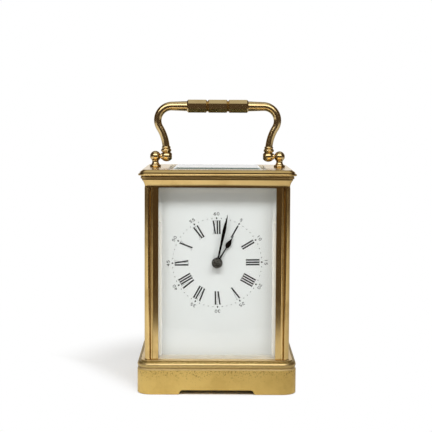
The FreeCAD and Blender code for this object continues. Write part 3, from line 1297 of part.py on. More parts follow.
def balance_spring():
    """A flat spiral of round wire in half turns, from beside the collet out to the stud."""
    x, y, z = BALANCE_X, ESCAPE_Y, COCK_LEVEL - 1.0
    start = 1.3
    edges = []
    samples = []
    here = -start
    for turn in range(2 * HAIRSPRING_TURNS + 1):
        radius = start + HAIRSPRING_PITCH * (turn + 0.5) / 2
        sign = 1 if turn % 2 == 0 else -1
        there = here + sign * 2 * radius
        middle = (here + there) / 2
        edges.append(arc(Vec(x, y + here, z), Vec(x - sign * radius, y + middle, z), Vec(x, y + there, z)))
        for step in range(HAIRSPRING_SAMPLES):
            angle = math.pi * step / HAIRSPRING_SAMPLES
            along, across = polar(sign * radius, angle)
            samples.append((turn * HAIRSPRING_SAMPLES + step, -across, middle - along))
        here = there
    far = [(a, b) for a in samples for b in samples if b[0] - a[0] > HAIRSPRING_SAMPLES]
    gap = min(math.hypot(a[1] - b[1], a[2] - b[2]) for a, b in far)
    print("balance spring: least gap to itself", round(gap - 2 * HAIRSPRING_WIRE, 3))
    path = Part.Wire(edges)
    ring = Part.Wire(Part.Circle(Vec(x, y - start, z), Vec(1, 0, 0), HAIRSPRING_WIRE).toShape())
    return path.makePipeShell([ring], True, False), here


def balance_cock(stud_y):
    x, y = BALANCE_X, ESCAPE_Y
    foot_y = y + BALANCE_RADIUS + 1.6
    back = PLATE_BACK - 0.8
    half = [(3.2, back), (3.2, foot_y), (1.7, y + 0.6), (1.2, y - 1.2)]
    left = [(x - across, row) for across, row in half]
    right = [(x + across, row) for across, row in half[::-1]]
    foot = box(x - 3.2, x + 3.2, foot_y, back, PLATFORM_TOP, COCK_LEVEL + 0.5)
    body = fused([prism_z(left + [(x, y - 1.8)] + right, COCK_LEVEL, COCK_LEVEL + 1.6), foot])
    stud = rod_z(0.45, COCK_LEVEL - 1.3, COCK_LEVEL + 0.2, x + 0.48, y + stud_y)
    return cut(body.fuse(stud).removeSplitter(), [rod_z(0.25 + RUN, COCK_LEVEL - 1, COCK_LEVEL + 3, x, y)])


# Hand-in

def main():
    os.makedirs("parts", exist_ok=True)
    front = pillar(True)
    rear = mirror_y(pillar(False))
    arm = handle_arm()
    post = handle_post()
    side_glass = right_glass()
    spring, stud_y = balance_spring()
    nodes = {
        "base": base(), "cornice": cornice(),
        "pillar_front_left": mirror_x(front), "pillar_front_right": front,
        "pillar_rear_left": mirror_x(rear), "pillar_rear_right": rear,
        "pillar_screws": pillar_screws(),
        "top_glass": top_glass(), "front_glass": front_glass(),
        "left_glass": mirror_x(side_glass), "right_glass": side_glass,
        "door_frame": door_frame(), "door_glass": door_glass(),
        "door_pins": door_pins(), "door_knob": door_knob(),
        "handle_arm_left": mirror_x(arm), "handle_arm_right": arm, "handle_grip": handle_grip(),
        "handle_post_left": mirror_x(post), "handle_post_right": post, "handle_pivots": handle_pivots(),
        "front_plate": front_plate(), "back_plate": back_plate(), "frame_pillars": frame_pillars(),
        "plate_screws": plate_screws(), "seat_screws": seat_screws(),
        "dial": dial(), "dial_feet": dial_feet(),
        "minute_hand": minute_hand(), "hour_hand": hour_hand(), "hand_collet": hand_collet(),
        "cannon_pinion": cannon_pinion(), "minute_wheel": minute_wheel(), "minute_post": minute_post(),
        "hour_wheel": hour_wheel(),
        "barrel": barrel(), "barrel_cap": barrel_cap(), "barrel_arbor": barrel_arbor(),
        "mainspring": mainspring(), "ratchet_wheel": ratchet_wheel(),
        "click": click(), "click_screw": click_screw(), "click_spring": click_spring(),
        "intermediate_wheel": intermediate_wheel(), "intermediate_arbor": intermediate_arbor(),
        "centre_wheel": centre_wheel(), "centre_arbor": centre_arbor(),
        "third_wheel": third_wheel(), "third_arbor": third_arbor(),
        "contrate_wheel": contrate_wheel(), "contrate_arbor": contrate_arbor(),
        "platform": platform(), "platform_screws": platform_screws(),
        "escape_wheel": escape_wheel(), "pallet_lever": pallet_lever(), "escape_cock": escape_cock(),
        "balance_wheel": balance_wheel(), "balance_spring": spring, "balance_cock": balance_cock(stud_y),
    }
    for name, shape in nodes.items():
        if not shape.isValid():
            print("not valid:", name)
        shape.exportStep("parts/" + name + ".step")
    print(len(nodes), "nodes; centre", CENTRE, "ceiling", CEILING, "pivot", PIVOT_HEIGHT,
          "half depth", HALF_DEPTH)


main()
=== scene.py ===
import json
import logging
import math
from abc import ABC, abstractmethod
from dataclasses import dataclass, field
from enum import Enum
from typing import Any, ClassVar, Optional, Sequence, Union

import bpy
import numpy as np
from mathutils import Matrix, Vector


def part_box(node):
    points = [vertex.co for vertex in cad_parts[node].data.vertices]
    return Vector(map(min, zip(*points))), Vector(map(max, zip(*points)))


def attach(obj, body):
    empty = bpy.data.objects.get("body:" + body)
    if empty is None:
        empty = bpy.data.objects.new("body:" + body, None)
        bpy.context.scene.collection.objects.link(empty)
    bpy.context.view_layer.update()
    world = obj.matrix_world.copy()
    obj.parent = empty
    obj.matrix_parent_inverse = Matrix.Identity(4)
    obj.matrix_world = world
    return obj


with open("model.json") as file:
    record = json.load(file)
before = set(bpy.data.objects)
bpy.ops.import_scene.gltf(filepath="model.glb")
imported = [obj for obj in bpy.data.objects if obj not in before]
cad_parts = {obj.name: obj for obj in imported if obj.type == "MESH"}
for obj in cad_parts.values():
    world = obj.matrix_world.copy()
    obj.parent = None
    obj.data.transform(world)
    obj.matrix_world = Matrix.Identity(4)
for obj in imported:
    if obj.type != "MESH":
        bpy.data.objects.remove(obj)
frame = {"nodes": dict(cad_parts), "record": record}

LOG = logging.getLogger("carriage_clock")
MM = 0.001
GLASS_IOR = 1.5
# Half width, in millimetres, where a stroke or a turned shape runs to a point
POINT = 0.004
Colour = tuple[float, float, float]
Value = Union["Wire", float, Sequence[float]]


class Body(Enum):
    """The moving bodies of the clock that carry new pieces."""

    CASE = "case"


class Slot(Enum):
    """The material slots of the part that new pieces take their finish from."""

    GILT = "movement_brass"


class Letter(Enum):
    """The letters that the hour chapters are set from."""

    ONE = "I"
    FIVE = "V"
    TEN = "X"


class Role(Enum):
    """What a lamp is for."""

    LIGHTING = "lights matt surfaces"
    MIRRORED = "shows in polished surfaces"


# Shader wiring


class Wire:
    """A node's output socket, with arithmetic that adds Math nodes to its tree."""

    def __init__(self, sheet: "NodeSheet", socket: bpy.types.NodeSocket) -> None:
        """Keep the tree, and the output in it that this wire leads from."""
        self.sheet = sheet
        self.socket = socket

    def _math(self, operation: str, first: Value, second: Value) -> "Wire":
        """Add one Math node and return its result."""
        return self.sheet.node("ShaderNodeMath", {"operation": operation}, {0: first, 1: second})

    def __add__(self, other: Value) -> "Wire":
        """Return self + other."""
        return self._math("ADD", self, other)

    def __radd__(self, other: Value) -> "Wire":
        """Return other + self."""
        return self._math("ADD", other, self)

    def __sub__(self, other: Value) -> "Wire":
        """Return self - other."""
        return self._math("SUBTRACT", self, other)

    def __rsub__(self, other: Value) -> "Wire":
        """Return other - self."""
        return self._math("SUBTRACT", other, self)

    def __mul__(self, other: Value) -> "Wire":
        """Return self * other."""
        return self._math("MULTIPLY", self, other)

    def __rmul__(self, other: Value) -> "Wire":
        """Return other * self."""
        return self._math("MULTIPLY", other, self)

    def __or__(self, other: Value) -> "Wire":
        """Return the larger of the two, which joins two masks."""
        return self._math("MAXIMUM", self, other)

    def __ror__(self, other: Value) -> "Wire":
        """Return the larger of the two, which joins two masks."""
        return self._math("MAXIMUM", other, self)


@dataclass(frozen=True)
class Mottle:
    """A cloudy pattern in a finish.

    It has clouds per metre, octaves of finer noise and their weight, the two noise values
    between which it comes in, and a factor by which each axis is squeezed.
    """

    scale: float
    detail: float = 3.0
    weight: float = 0.55
    shows: tuple[float, float] = (0.0, 1.0)
    squeeze: tuple[float, float, float] = (1.0, 1.0, 1.0)


class NodeSheet:
    """A node tree that is filled from Python expressions."""

    def __init__(self, tree: bpy.types.NodeTree) -> None:
        """Empty a material's or the world's node tree and keep it."""
        self.tree = tree
        self.tree.nodes.clear()

    def node(
        self,
        kind: str,
        settings: Optional[dict[str, Any]] = None,
        inputs: Optional[dict[Union[int, str], Value]] = None,
        output: Union[int, str] = 0,
    ) -> Wire:
        """Add one node, with its settings first and its sockets after.

        Args:
            kind: The node's type name.
            settings: Attributes to set.
            inputs: Constants or wires by socket name or number.
            output: The output that the returned wire leads from.

        Returns:
            The wire from the chosen output, or from nothing for an output node.
        """
        made = self.tree.nodes.new(kind)
        for key, value in (settings or {}).items():
            setattr(made, key, value)
        for key, value in (inputs or {}).items():
            if isinstance(value, Wire):
                self.tree.links.new(value.socket, made.inputs[key])
            else:
                made.inputs[key].default_value = value
        return Wire(self, made.outputs[output] if len(made.outputs) else None)

    def place(self) -> Wire:
        """Return the Object coordinates, in metres in the frame of the CAD."""
        return self.node("ShaderNodeTexCoord", output="Object")

    def along(self, axis: str, vector: Optional[Wire] = None) -> Wire:
        """Return a vector's part along X, Y or Z; the Object coordinates are used where none is given."""
        source = vector if vector is not None else self.place()
        return self.node("ShaderNodeSeparateXYZ", None, {0: source}, axis)

    def length(self, vector: Wire) -> Wire:
        """Return a vector's length."""
        return self.node("ShaderNodeVectorMath", {"operation": "LENGTH"}, {0: vector}, "Value")

    def squeezed(self, factors: Sequence[float]) -> Wire:
        """Return the Object coordinates multiplied axis by axis."""
        inputs = {0: self.place(), 1: tuple(factors)}
        return self.node("ShaderNodeVectorMath", {"operation": "MULTIPLY"}, inputs)

    def noise(self, pattern: Mottle) -> Wire:
        """Add a pattern's noise.

        Args:
            pattern: The pattern.

        Returns:
            The noise, between 0 and 1.
        """
        sizes = {"Scale": pattern.scale, "Detail": pattern.detail, "Roughness": pattern.weight}
        inputs = {"Vector": self.squeezed(pattern.squeeze), **sizes}
        return self.node("ShaderNodeTexNoise", None, inputs, "Fac")

    def mask(self, pattern: Mottle) -> Wire:
        """Return a mask that is 1 where a pattern is strong."""
        return self.step(self.noise(pattern), *pattern.shows)

    def step(self, value: Value, low: float, high: float) -> Wire:
        """Return a smooth step from 0 at low to 1 at high.

        Args:
            value: The value that is stepped.
            low: Where the step starts.
            high: Where it is complete; below low the step falls.

        Returns:
            The step.
        """
        ends = (low, high, 0.0, 1.0) if low < high else (high, low, 1.0, 0.0)
        inputs = {"Value": value, **dict(zip(("From Min", "From Max", "To Min", "To Max"), ends))}
        return self.node("ShaderNodeMapRange", {"interpolation_type": "SMOOTHSTEP", "clamp": True}, inputs)

    def blend(self, share: Value, first: Value, second: Value) -> Wire:
        """Return a colour between two colours; share 0 gives the first."""
        ends = {0: share, 6: self.rgba(first), 7: self.rgba(second)}
        return self.node("ShaderNodeMix", {"data_type": "RGBA", "clamp_factor": True}, ends, 2)

    @staticmethod
    def rgba(colour: Value) -> Value:
        """Return a colour with full alpha, and a wire unchanged."""
        return colour if isinstance(colour, Wire) else (*colour, 1.0)

    def bump(self, height: Wire, strength: float, depth: float) -> Wire:
        """Return a normal bent by a height field, in which 1 stands depth metres high."""
        inputs = {"Strength": strength, "Distance": depth, "Height": height}
        return self.node("ShaderNodeBump", None, inputs, "Normal")

    def ray(self, output: str) -> Wire:
        """Return what one output of the Light Path node says of a ray."""
        return self.node("ShaderNodeLightPath", output=output)

    def principled(self, sockets: dict[Union[int, str], Value]) -> Wire:
        """Return a Principled shader."""
        return self.node("ShaderNodeBsdfPrincipled", None, sockets)

    def through(self, colour: Colour) -> Wire:
        """Return a shader that lets light through and tints it."""
        return self.node("ShaderNodeBsdfTransparent", None, {"Color": self.rgba(colour)})

    def mixed(self, share: Wire, first: Wire, second: Wire) -> Wire:
        """Return a shader between two shaders; share 0 gives the first."""
        return self.node("ShaderNodeMixShader", None, {0: share, 1: first, 2: second})

    def surface(self, shader: Wire) -> None:
        """Lead a shader to the material's output."""
        self.node("ShaderNodeOutputMaterial", None, {"Surface": shader})


# Finishes


@dataclass(frozen=True)
class Finish(ABC):
    """A finish of the clock, which makes one material."""

    name: str

    @abstractmethod
    def lay(self, sheet: NodeSheet) -> Wire:
        """Add the finish's nodes and return its shader."""

    def material(self) -> bpy.types.Material:
        """Make the material.

        Returns:
            A node material of this finish.
        """
        made = bpy.data.materials.new(self.name)
        made.use_nodes = True
        sheet = NodeSheet(made.node_tree)
        sheet.surface(self.lay(sheet))
        LOG.info("finish %s", self.name)
        return made


@dataclass(frozen=True)
class CaseBrass(Finish):
    """Hand-polished brass, toned by age, with grime and painted shade in its quirks."""

    name: str = "polished_case_brass"
    bright: Colour = (0.715, 0.51, 0.212)
    toned: Colour = (0.50, 0.315, 0.105)
    dirt: Colour = (0.075, 0.038, 0.012)
    worn_pale: Colour = (0.80, 0.74, 0.62)
    gloss: float = 0.13
    wear: float = 0.16
    clouds: Mottle = Mottle(70.0, 5.0, 0.6, (0.42, 0.72))
    specks: Mottle = Mottle(1900.0, 2.0, shows=(0.60, 0.76))
    speck_share: float = 0.45
    strokes: Mottle = Mottle(380.0, 4.0, 0.62, squeeze=(1.0, 1.0, 3.0))
    rub: float = 0.045
    rub_depth: float = 0.00003
    quirk: float = 0.0016
    quirk_rays: int = 6
    hemmed_in: tuple[float, float] = (0.62, 0.22)
    dirt_share: float = 0.25
    dusty: tuple[float, float] = (0.102, 0.1115)
    dust_share: float = 0.60
    dust_fade: float = 0.001
    deck_drop: tuple[float, float] = (-0.0003, 0.0003)
    fillet_drop: tuple[float, float] = (0.0033, 0.0045)
    rebate_drop: tuple[float, float] = (0.0001, 0.0026)
    rebate_reach: tuple[float, float] = (0.0256, 0.0238)
    rebate_fade: float = 0.00005
    rebate_matt: float = 0.6
    quirk_rough: float = 0.3
    deck_rough: float = 0.10
    fillet_rough: float = 0.19
    rebate_rough: float = 0.28

    @staticmethod
    def band(sheet: NodeSheet, height: Wire, low: float, high: float, soft: float = 0.0001) -> Wire:
        """Return a mask that is 1 between two heights, where soft is how far each edge fades."""
        return sheet.step(height, low - soft, low + soft) * sheet.step(height, high + soft, high - soft)

    def lay(self, sheet: NodeSheet) -> Wire:
        """Add cloudy toning, fine specks, and grime with painted shade where the surface is hemmed in.

        Most of the grime and painted shade lies in the cornice. Its deck and its fillet are rubbed duller
        than the rest, and the walls of its rebate are painted pale as a painted reflection.

        Args:
            sheet: The material's tree.

        Returns:
            The brass shader.
        """
        tone = sheet.mask(self.clouds) * (1.0 - self.speck_share) + sheet.mask(self.specks) * self.speck_share
        # Painted shade, with grime: where ambient occlusion finds the brass hemmed in, it is darkened, most
        # of all in a band of the cornice.
        settings = {"samples": self.quirk_rays, "only_local": True}
        open_sky = sheet.node("ShaderNodeAmbientOcclusion", settings, {"Distance": self.quirk}, "AO")
        across, depth, height = (sheet.along(axis) for axis in "XYZ")
        hemmed = sheet.step(open_sky, *self.hemmed_in)
        dust_and_shade = self.band(sheet, height, *self.dusty, self.dust_fade)
        dirt_and_shade_mask = hemmed * (self.dirt_share + dust_and_shade * self.dust_share)
        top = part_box("cornice")[1][2]
        deck = self.band(sheet, height, top - self.deck_drop[1], top - self.deck_drop[0])
        fillet = self.band(sheet, height, top - self.fillet_drop[1], top - self.fillet_drop[0])
        # Painted reflection: the walls of the rebate in the top are painted pale and made less metallic.
        upper, lower = (top - drop for drop in self.rebate_drop)
        rebate = self.band(sheet, height, lower, upper, self.rebate_fade)
        for side, reach in zip((across, depth), self.rebate_reach):
            rebate = rebate * self.band(sheet, side, -reach, reach)
        metal = sheet.blend(tone * (1.0 - deck), self.bright, self.toned)
        metal = sheet.blend(rebate, metal, self.worn_pale)
        polish = self.gloss + tone * (1.0 - deck) * self.wear + hemmed * self.quirk_rough
        duller = deck * self.deck_rough + fillet * self.fillet_rough + rebate * self.rebate_rough
        sockets = {
            "Base Color": sheet.blend(dirt_and_shade_mask * (1.0 - rebate), metal, self.dirt),
            "Metallic": 1.0 - rebate * self.rebate_matt,
            "Roughness": polish + duller,
            "Normal": sheet.bump(sheet.noise(self.strokes), self.rub, self.rub_depth),
        }
        return sheet.principled(sockets)


@dataclass(frozen=True)
class BaseBrass(Finish):
    """Brass of the base: a rubbed, speckled face, a polished roll, and bands above and below the roll,
    tarnished and darkened as painted shade.
    """

    name: str = "speckled_base_brass"
    bright: Colour = (0.725, 0.51, 0.163)
    rubbed: Colour = (0.60, 0.40, 0.113)
    polished: Colour = (0.76, 0.56, 0.26)
    tarnish: Colour = (0.41, 0.30, 0.108)
    soiled: Colour = (0.53, 0.39, 0.18)
    speck: Colour = (0.22, 0.125, 0.040)
    face_top: float = 0.0122
    face_worn: float = 0.0075
    roll_foot: float = 0.0137
    roll_middle: float = 0.0148
    roll_head: float = 0.0156
    ledge: float = 0.0168
    fade: float = 0.0003
    foot_fade: float = 0.0005
    head_fade: float = 0.0002
    gloss: float = 0.35
    satin: float = 0.34
    clouds: Mottle = Mottle(95.0, 5.0, 0.65, (0.40, 0.70))
    grain: Mottle = Mottle(2300.0, 4.0, 0.7)
    blotches: Mottle = Mottle(520.0, 4.0, 0.7, (0.36, 0.62), (1.0, 1.0, 2.4))
    specks: Mottle = Mottle(1250.0, 5.0, 0.75, (0.585, 0.70))
    crowding: float = 0.085
    worn: tuple[float, float] = (0.25, 0.50)
    toned: tuple[float, float] = (0.55, 0.05)
    stained: float = 0.65
    blotched: tuple[float, float, float] = (0.35, 0.25, 0.45)
    soil_matt: float = 0.65
    soil_rough: float = 0.18
    speck_rough: float = 0.10
    cloud_rough: float = 0.05
    speck_rise: float = 0.6
    dent: tuple[float, float] = (0.35, 0.00007)

    def lay(self, sheet: NodeSheet) -> Wire:
        """Add the speckled face, the quirk under the roll with its soil, the roll, and the tarnished band
        over it; the quirk, the roll's lower half and the band over it are darkened partly as painted shade.

        Args:
            sheet: The material's tree.

        Returns:
            The brass shader.
        """
        height = sheet.along("Z")
        face = sheet.step(height, self.face_top + self.fade, self.face_top - self.fade)
        # The face grows darker and more speckled towards its top, by the roll.
        near_roll = sheet.step(height, self.face_top - self.face_worn, self.face_top)
        # Painted shade, with soil: the quirk under the roll is darker and less metallic.
        under = sheet.step(height, self.roll_foot + self.foot_fade, self.roll_foot - self.foot_fade)
        under = under * (1.0 - face)
        # Painted shade: the band over the roll, up to the ledge, and the roll's lower half are darkened,
        # partly as tarnishing.
        over = sheet.step(height, self.roll_head - self.head_fade, self.roll_head + self.head_fade)
        over = over * sheet.step(height, self.ledge + self.head_fade, self.ledge - self.head_fade)
        below = sheet.step(height, self.roll_middle + self.fade, self.roll_middle - self.fade)
        clouds, blotches = sheet.mask(self.clouds), sheet.mask(self.blotches)
        specks = sheet.step(sheet.noise(self.specks) + near_roll * self.crowding, *self.specks.shows)
        worn = specks * face * (self.worn[0] + near_roll * self.worn[1])
        plain = sheet.blend(clouds * self.toned[0] + near_roll * self.toned[1], self.bright, self.rubbed)
        over_roll, below_roll, in_quirk = (blotches * share for share in self.blotched)
        stained = over * (self.stained + over_roll) | below * (self.stained + below_roll)
        roll = sheet.blend(stained, self.polished, self.tarnish)
        roll = sheet.blend(under, roll, sheet.blend(in_quirk, self.soiled, self.tarnish))
        satin = face * (self.satin - self.gloss) + (under | over) * self.soil_rough
        rise = (sheet.noise(self.grain) + specks * self.speck_rise) * face
        sockets = {
            "Base Color": sheet.blend(worn, sheet.blend(face, roll, plain), self.speck),
            "Metallic": 1.0 - under * self.soil_matt,
            "Roughness": self.gloss + satin + specks * face * self.speck_rough + clouds * self.cloud_rough,
            "Normal": sheet.bump(rise, *self.dent),
        }
        return sheet.principled(sockets)


@dataclass(frozen=True)
class LinedMetal(Finish):
    """Metal with fine lines that run one way."""

    bright: Colour
    dull: Colour
    gloss: float
    wear: float
    lines: Mottle
    clouds: Mottle
    cloud_share: float
    toned: tuple[float, float]
    dent: tuple[float, float]

    def lay(self, sheet: NodeSheet) -> Wire:
        """Add the lines and a clouded tone.

        Args:
            sheet: The material's tree.

        Returns:
            The metal shader.
        """
        lines = sheet.noise(self.lines)
        mixed = lines * (1.0 - self.cloud_share) + sheet.noise(self.clouds) * self.cloud_share
        tone = sheet.step(mixed, *self.toned)
        sockets = {
            "Base Color": sheet.blend(tone, self.bright, self.dull),
            "Metallic": 1.0,
            "Roughness": self.gloss + tone * self.wear,
            "Normal": sheet.bump(lines, *self.dent),
        }
        return sheet.principled(sockets)


@dataclass(frozen=True)
class Steel(LinedMetal):
    """Steel, bright or tempered blue, with its polishing lines."""

    name: str = "polished_steel"
    bright: Colour = (0.60, 0.60, 0.615)
    dull: Colour = (0.42, 0.42, 0.435)
    gloss: float = 0.18
    wear: float = 0.12
    lines: Mottle = Mottle(1.0, 2.0, 0.5, squeeze=(900.0, 900.0, 4200.0))
    clouds: Mottle = Mottle(260.0, 4.0, 0.6)
    cloud_share: float = 0.6
    toned: tuple[float, float] = (0.35, 0.65)
    dent: tuple[float, float] = (0.12, 0.00002)


@dataclass(frozen=True)
class GrainedBrass(LinedMetal):
    """Gilt brass of the movement, drawn over a stone in one direction."""

    name: str = "grained_movement_brass"
    bright: Colour = (0.83, 0.645, 0.315)
    dull: Colour = (0.66, 0.475, 0.205)
    gloss: float = 0.22
    wear: float = 0.14
    lines: Mottle = Mottle(1.0, 3.0, 0.6, squeeze=(2600.0, 2600.0, 70.0))
    clouds: Mottle = Mottle(120.0, 4.0, 0.6)
    cloud_share: float = 0.45
    toned: tuple[float, float] = (0.36, 0.64)
    dent: tuple[float, float] = (0.22, 0.00003)


@dataclass(frozen=True)
class Enamel(Finish):
    """Fired white enamel, glassy, with a faint waver in its surface."""

    name: str = "fired_white_enamel"
    white: Colour = (0.865, 0.873, 0.872)
    milk: Colour = (0.82, 0.832, 0.832)
    clouds: Mottle = Mottle(45.0, 4.0, 0.6, (0.35, 0.75))
    pits: Mottle = Mottle(2600.0, 1.0, shows=(0.70, 0.80))
    waver: Mottle = Mottle(150.0, 2.0)
    milky: tuple[float, float] = (0.5, 0.25)
    gloss: float = 0.16
    wear: tuple[float, float] = (0.06, 0.2)
    dent: tuple[float, float] = (0.05, 0.0002)

    def lay(self, sheet: NodeSheet) -> Wire:
        """Add a milky cloud and tiny pits to the white.

        Args:
            sheet: The material's tree.

        Returns:
            The enamel shader.
        """
        clouds, pits = sheet.mask(self.clouds), sheet.mask(self.pits)
        tone = clouds * self.milky[0] + pits * self.milky[1]
        sockets = {
            "Base Color": sheet.blend(tone, self.white, self.milk),
            "Roughness": self.gloss + clouds * self.wear[0] + pits * self.wear[1],
            "IOR": GLASS_IOR,
            "Normal": sheet.bump(sheet.noise(self.waver), *self.dent),
        }
        return sheet.principled(sockets)


@dataclass(frozen=True)
class Ink(Finish):
    """Black dial print, fired on, a little uneven in its edge and sheen."""

    name: str = "fired_black_print"
    black: Colour = (0.014, 0.014, 0.016)
    thin: Colour = (0.050, 0.050, 0.054)
    patches: Mottle = Mottle(1400.0, shows=(0.5, 0.8))
    gloss: float = 0.38
    wear: float = 0.2

    def lay(self, sheet: NodeSheet) -> Wire:
        """Add thin places to the print.

        Args:
            sheet: The material's tree.

        Returns:
            The print shader.
        """
        patches = sheet.mask(self.patches)
        colour = sheet.blend(patches, self.black, self.thin)
        return sheet.principled({"Base Color": colour, "Roughness": self.gloss + patches * self.wear})


@dataclass(frozen=True)
class Glass(Finish):
    """Clear plate glass with a faint green cast and a bevel painted pale and matt as a painted reflection,
    which lets the lamps through.
    """

    name: str = "bevelled_plate_glass"
    pane: str = "front_glass"
    lip: float = 0.0015
    bevel: float = 0.0018
    ground: float = 0.42
    fade: float = 0.0001
    wiped: tuple[float, float] = (0.008, 0.026)
    clear: Colour = (0.965, 0.985, 0.975)
    handled: Colour = (0.925, 0.95, 0.94)
    cast: Colour = (0.972, 0.976, 0.975)
    edge: Colour = (0.36, 0.43, 0.395)
    matt: Colour = (0.99, 0.975, 0.91)
    matt_rough: float = 0.5
    wipes: Mottle = Mottle(1.0, 4.0, 0.6, (0.55, 0.80), (60.0, 60.0, 25.0))
    wipe_share: float = 0.4
    wipe_rough: float = 0.012
    turns: tuple[float, float] = (3.0, 3.5)

    def slope(self, sheet: NodeSheet) -> Wire:
        """Return a mask that is 1 on the bevel, which runs round the pane inside its lip.

        It fades towards the top of the pane, as painted shade.

        Args:
            sheet: The material's tree.

        Returns:
            The mask.
        """
        low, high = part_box(self.pane)
        spans = [last - first for first, last in zip(low, high)]
        inset = self.lip + self.bevel
        mask: Value = 0.0
        for axis, first, last, span in zip("XYZ", low, high, spans):
            if span > min(spans):
                at = sheet.along(axis)
                mask = mask | sheet.step(at, first + inset, first + inset - self.fade)
                mask = mask | sheet.step(at, last - inset, last - inset + self.fade)
        shaded_from, lit_below = (high[2] - drop for drop in self.wiped)
        return mask * sheet.step(sheet.along("Z"), shaded_from, lit_below)

    def lay(self, sheet: NodeSheet) -> Wire:
        """Add clear glass with faint wiping marks, and the bevel's slope painted pale and matt as a painted
        reflection.

        Args:
            sheet: The material's tree.

        Returns:
            The glass shader.
        """
        wipes = sheet.mask(self.wipes)
        sockets = {
            "Base Color": sheet.blend(wipes * self.wipe_share, self.clear, self.handled),
            "Roughness": wipes * self.wipe_rough,
            "IOR": GLASS_IOR,
            "Transmission Weight": 1.0,
        }
        trapped = sheet.step(sheet.ray("Ray Depth"), *self.turns)
        seen = sheet.mixed(trapped, sheet.principled(sockets), sheet.through(self.edge))
        # Painted reflection: the bevel is painted pale and matt, faded towards the top as painted shade.
        matt = sheet.principled({"Base Color": sheet.rgba(self.matt), "Roughness": self.matt_rough})
        seen = sheet.mixed(self.slope(sheet) * self.ground, seen, matt)
        passing = sheet.ray("Is Shadow Ray") | sheet.ray("Is Diffuse Ray")
        return sheet.mixed(passing, seen, sheet.through(self.cast))


@dataclass(frozen=True)
class Ruby(Finish):
    """Red stone of a jewel hole, streaked deep and brighter red."""

    name: str = "jewel_stone"
    deep: Colour = (0.20, 0.004, 0.022)
    bright: Colour = (0.52, 0.02, 0.075)
    streaks: Mottle = Mottle(1500.0, 2.0, shows=(0.35, 0.7))
    gloss: float = 0.05
    wear: float = 0.05
    ior: float = 1.77
    coat: float = 0.6

    def lay(self, sheet: NodeSheet) -> Wire:
        """Add streaks of colour under a hard gloss.

        Args:
            sheet: The material's tree.

        Returns:
            The stone shader.
        """
        streaks = sheet.mask(self.streaks)
        sockets = {
            "Base Color": sheet.blend(streaks, self.deep, self.bright),
            "Roughness": self.gloss + streaks * self.wear,
            "IOR": self.ior,
            "Coat Weight": self.coat,
        }
        return sheet.principled(sockets)


# Surfaces


def placed(name: str, data: bpy.types.ID) -> bpy.types.Object:
    """Put new data into the scene as one object.

    Args:
        name: The object's name.
        data: A mesh, a camera or a light.

    Returns:
        The object, at the origin.
    """
    made = bpy.data.objects.new(name, data)
    bpy.context.scene.collection.objects.link(made)
    return made


@dataclass
class Surface:
    """A closed surface: points in millimetres and faces of four corners."""

    points: np.ndarray
    faces: np.ndarray

    @staticmethod
    def tube(rings: np.ndarray) -> "Surface":
        """Join closed rings of points into a capped tube.

        Point (i, j) is corner j of ring i. Each face spans two rings and two corners, and
        the first and last rings are closed by strips that pair corner j with the corner
        opposite, so that any even number of corners is capped with four-cornered faces.

        Args:
            rings: Array of rings × corners × 3.

        Returns:
            The closed tube, its faces turned outwards.
        """
        count, corners = rings.shape[:2]
        index = np.arange(count * corners).reshape(count, corners)
        beside = np.roll(index, -1, axis=1)
        sides = np.stack([index[:-1], beside[:-1], beside[1:], index[1:]], axis=-1).reshape(-1, 4)
        near = np.arange(corners // 2 - 1)
        far = corners - 1 - near
        strip = np.stack([near, near + 1, far - 1, far], axis=-1)
        caps = np.concatenate([index[0][strip][:, ::-1], index[-1][strip]])
        return Surface(rings.reshape(-1, 3), np.concatenate([sides, caps])).outwards()

    @staticmethod
    def joined(parts: Sequence["Surface"]) -> "Surface":
        """Put several surfaces into one.

        Args:
            parts: The surfaces.

        Returns:
            One surface with all their points and faces.
        """
        starts = np.cumsum([0] + [len(part.points) for part in parts[:-1]])
        faces = [part.faces + start for part, start in zip(parts, starts)]
        return Surface(np.concatenate([part.points for part in parts]), np.concatenate(faces))

    def outwards(self) -> "Surface":
        """Turn the faces so that the volume they enclose is positive.

        Returns:
            The surface with its faces pointing out.
        """
        a, b, c, d = (self.points[self.faces[:, k]] for k in range(4))
        volume = np.einsum("ij,ij->", a, np.cross(b, c)) + np.einsum("ij,ij->", a, np.cross(c, d))
        return self if volume > 0 else Surface(self.points, self.faces[:, ::-1])

    def piece(
        self,
        name: str,
        material: bpy.types.Material,
        body: Body,
        slot: Optional[Slot] = None,
        smooth: bool = False,
    ) -> bpy.types.Object:
        """Make a piece of the clock from the surface.

        Args:
            name: The piece's name.
            material: Its material.
            body: The body that it rides on.
            slot: The material slot that it takes its finish from, if any; not used.
            smooth: True where the faces are shaded as one curve.

        Returns:
            The piece, at the origin, with its place in its mesh.
        """
        mesh = bpy.data.meshes.new(name)
        mesh.from_pydata((self.points * MM).tolist(), [], self.faces.tolist())
        mesh.polygons.foreach_set("use_smooth", np.full(len(self.faces), smooth))
        mesh.materials.append(material)
        mesh.update()
        made = placed(name, mesh)
        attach(made, body.value)
        LOG.info("piece %s, %d faces, on %s", name, len(self.faces), body.value)
        return made


def turned(profile: np.ndarray, centre: Sequence[float], corners: int = 24) -> Surface:
    """Turn a profile about a vertical axis.

    Point (s, a) lies at centre + (r(s) cos a, r(s) sin a, h(s)).

    Args:
        profile: Rows of radius and height, from the foot up, in millimetres.
        centre: Foot of the axis, in millimetres.
        corners: Points round the axis, an even number.

    Returns:
        The turned surface, capped at both ends.
    """
    angle = np.linspace(0.0, 2.0 * np.pi, corners, endpoint=False)
    radius = np.maximum(profile[:, :1], POINT)
    level = np.broadcast_to(profile[:, 1:], (len(profile), corners))
    rings = np.stack([radius * np.cos(angle), radius * np.sin(angle), level], axis=-1)
    return Surface.tube(rings + np.asarray(centre, float))


# Dial


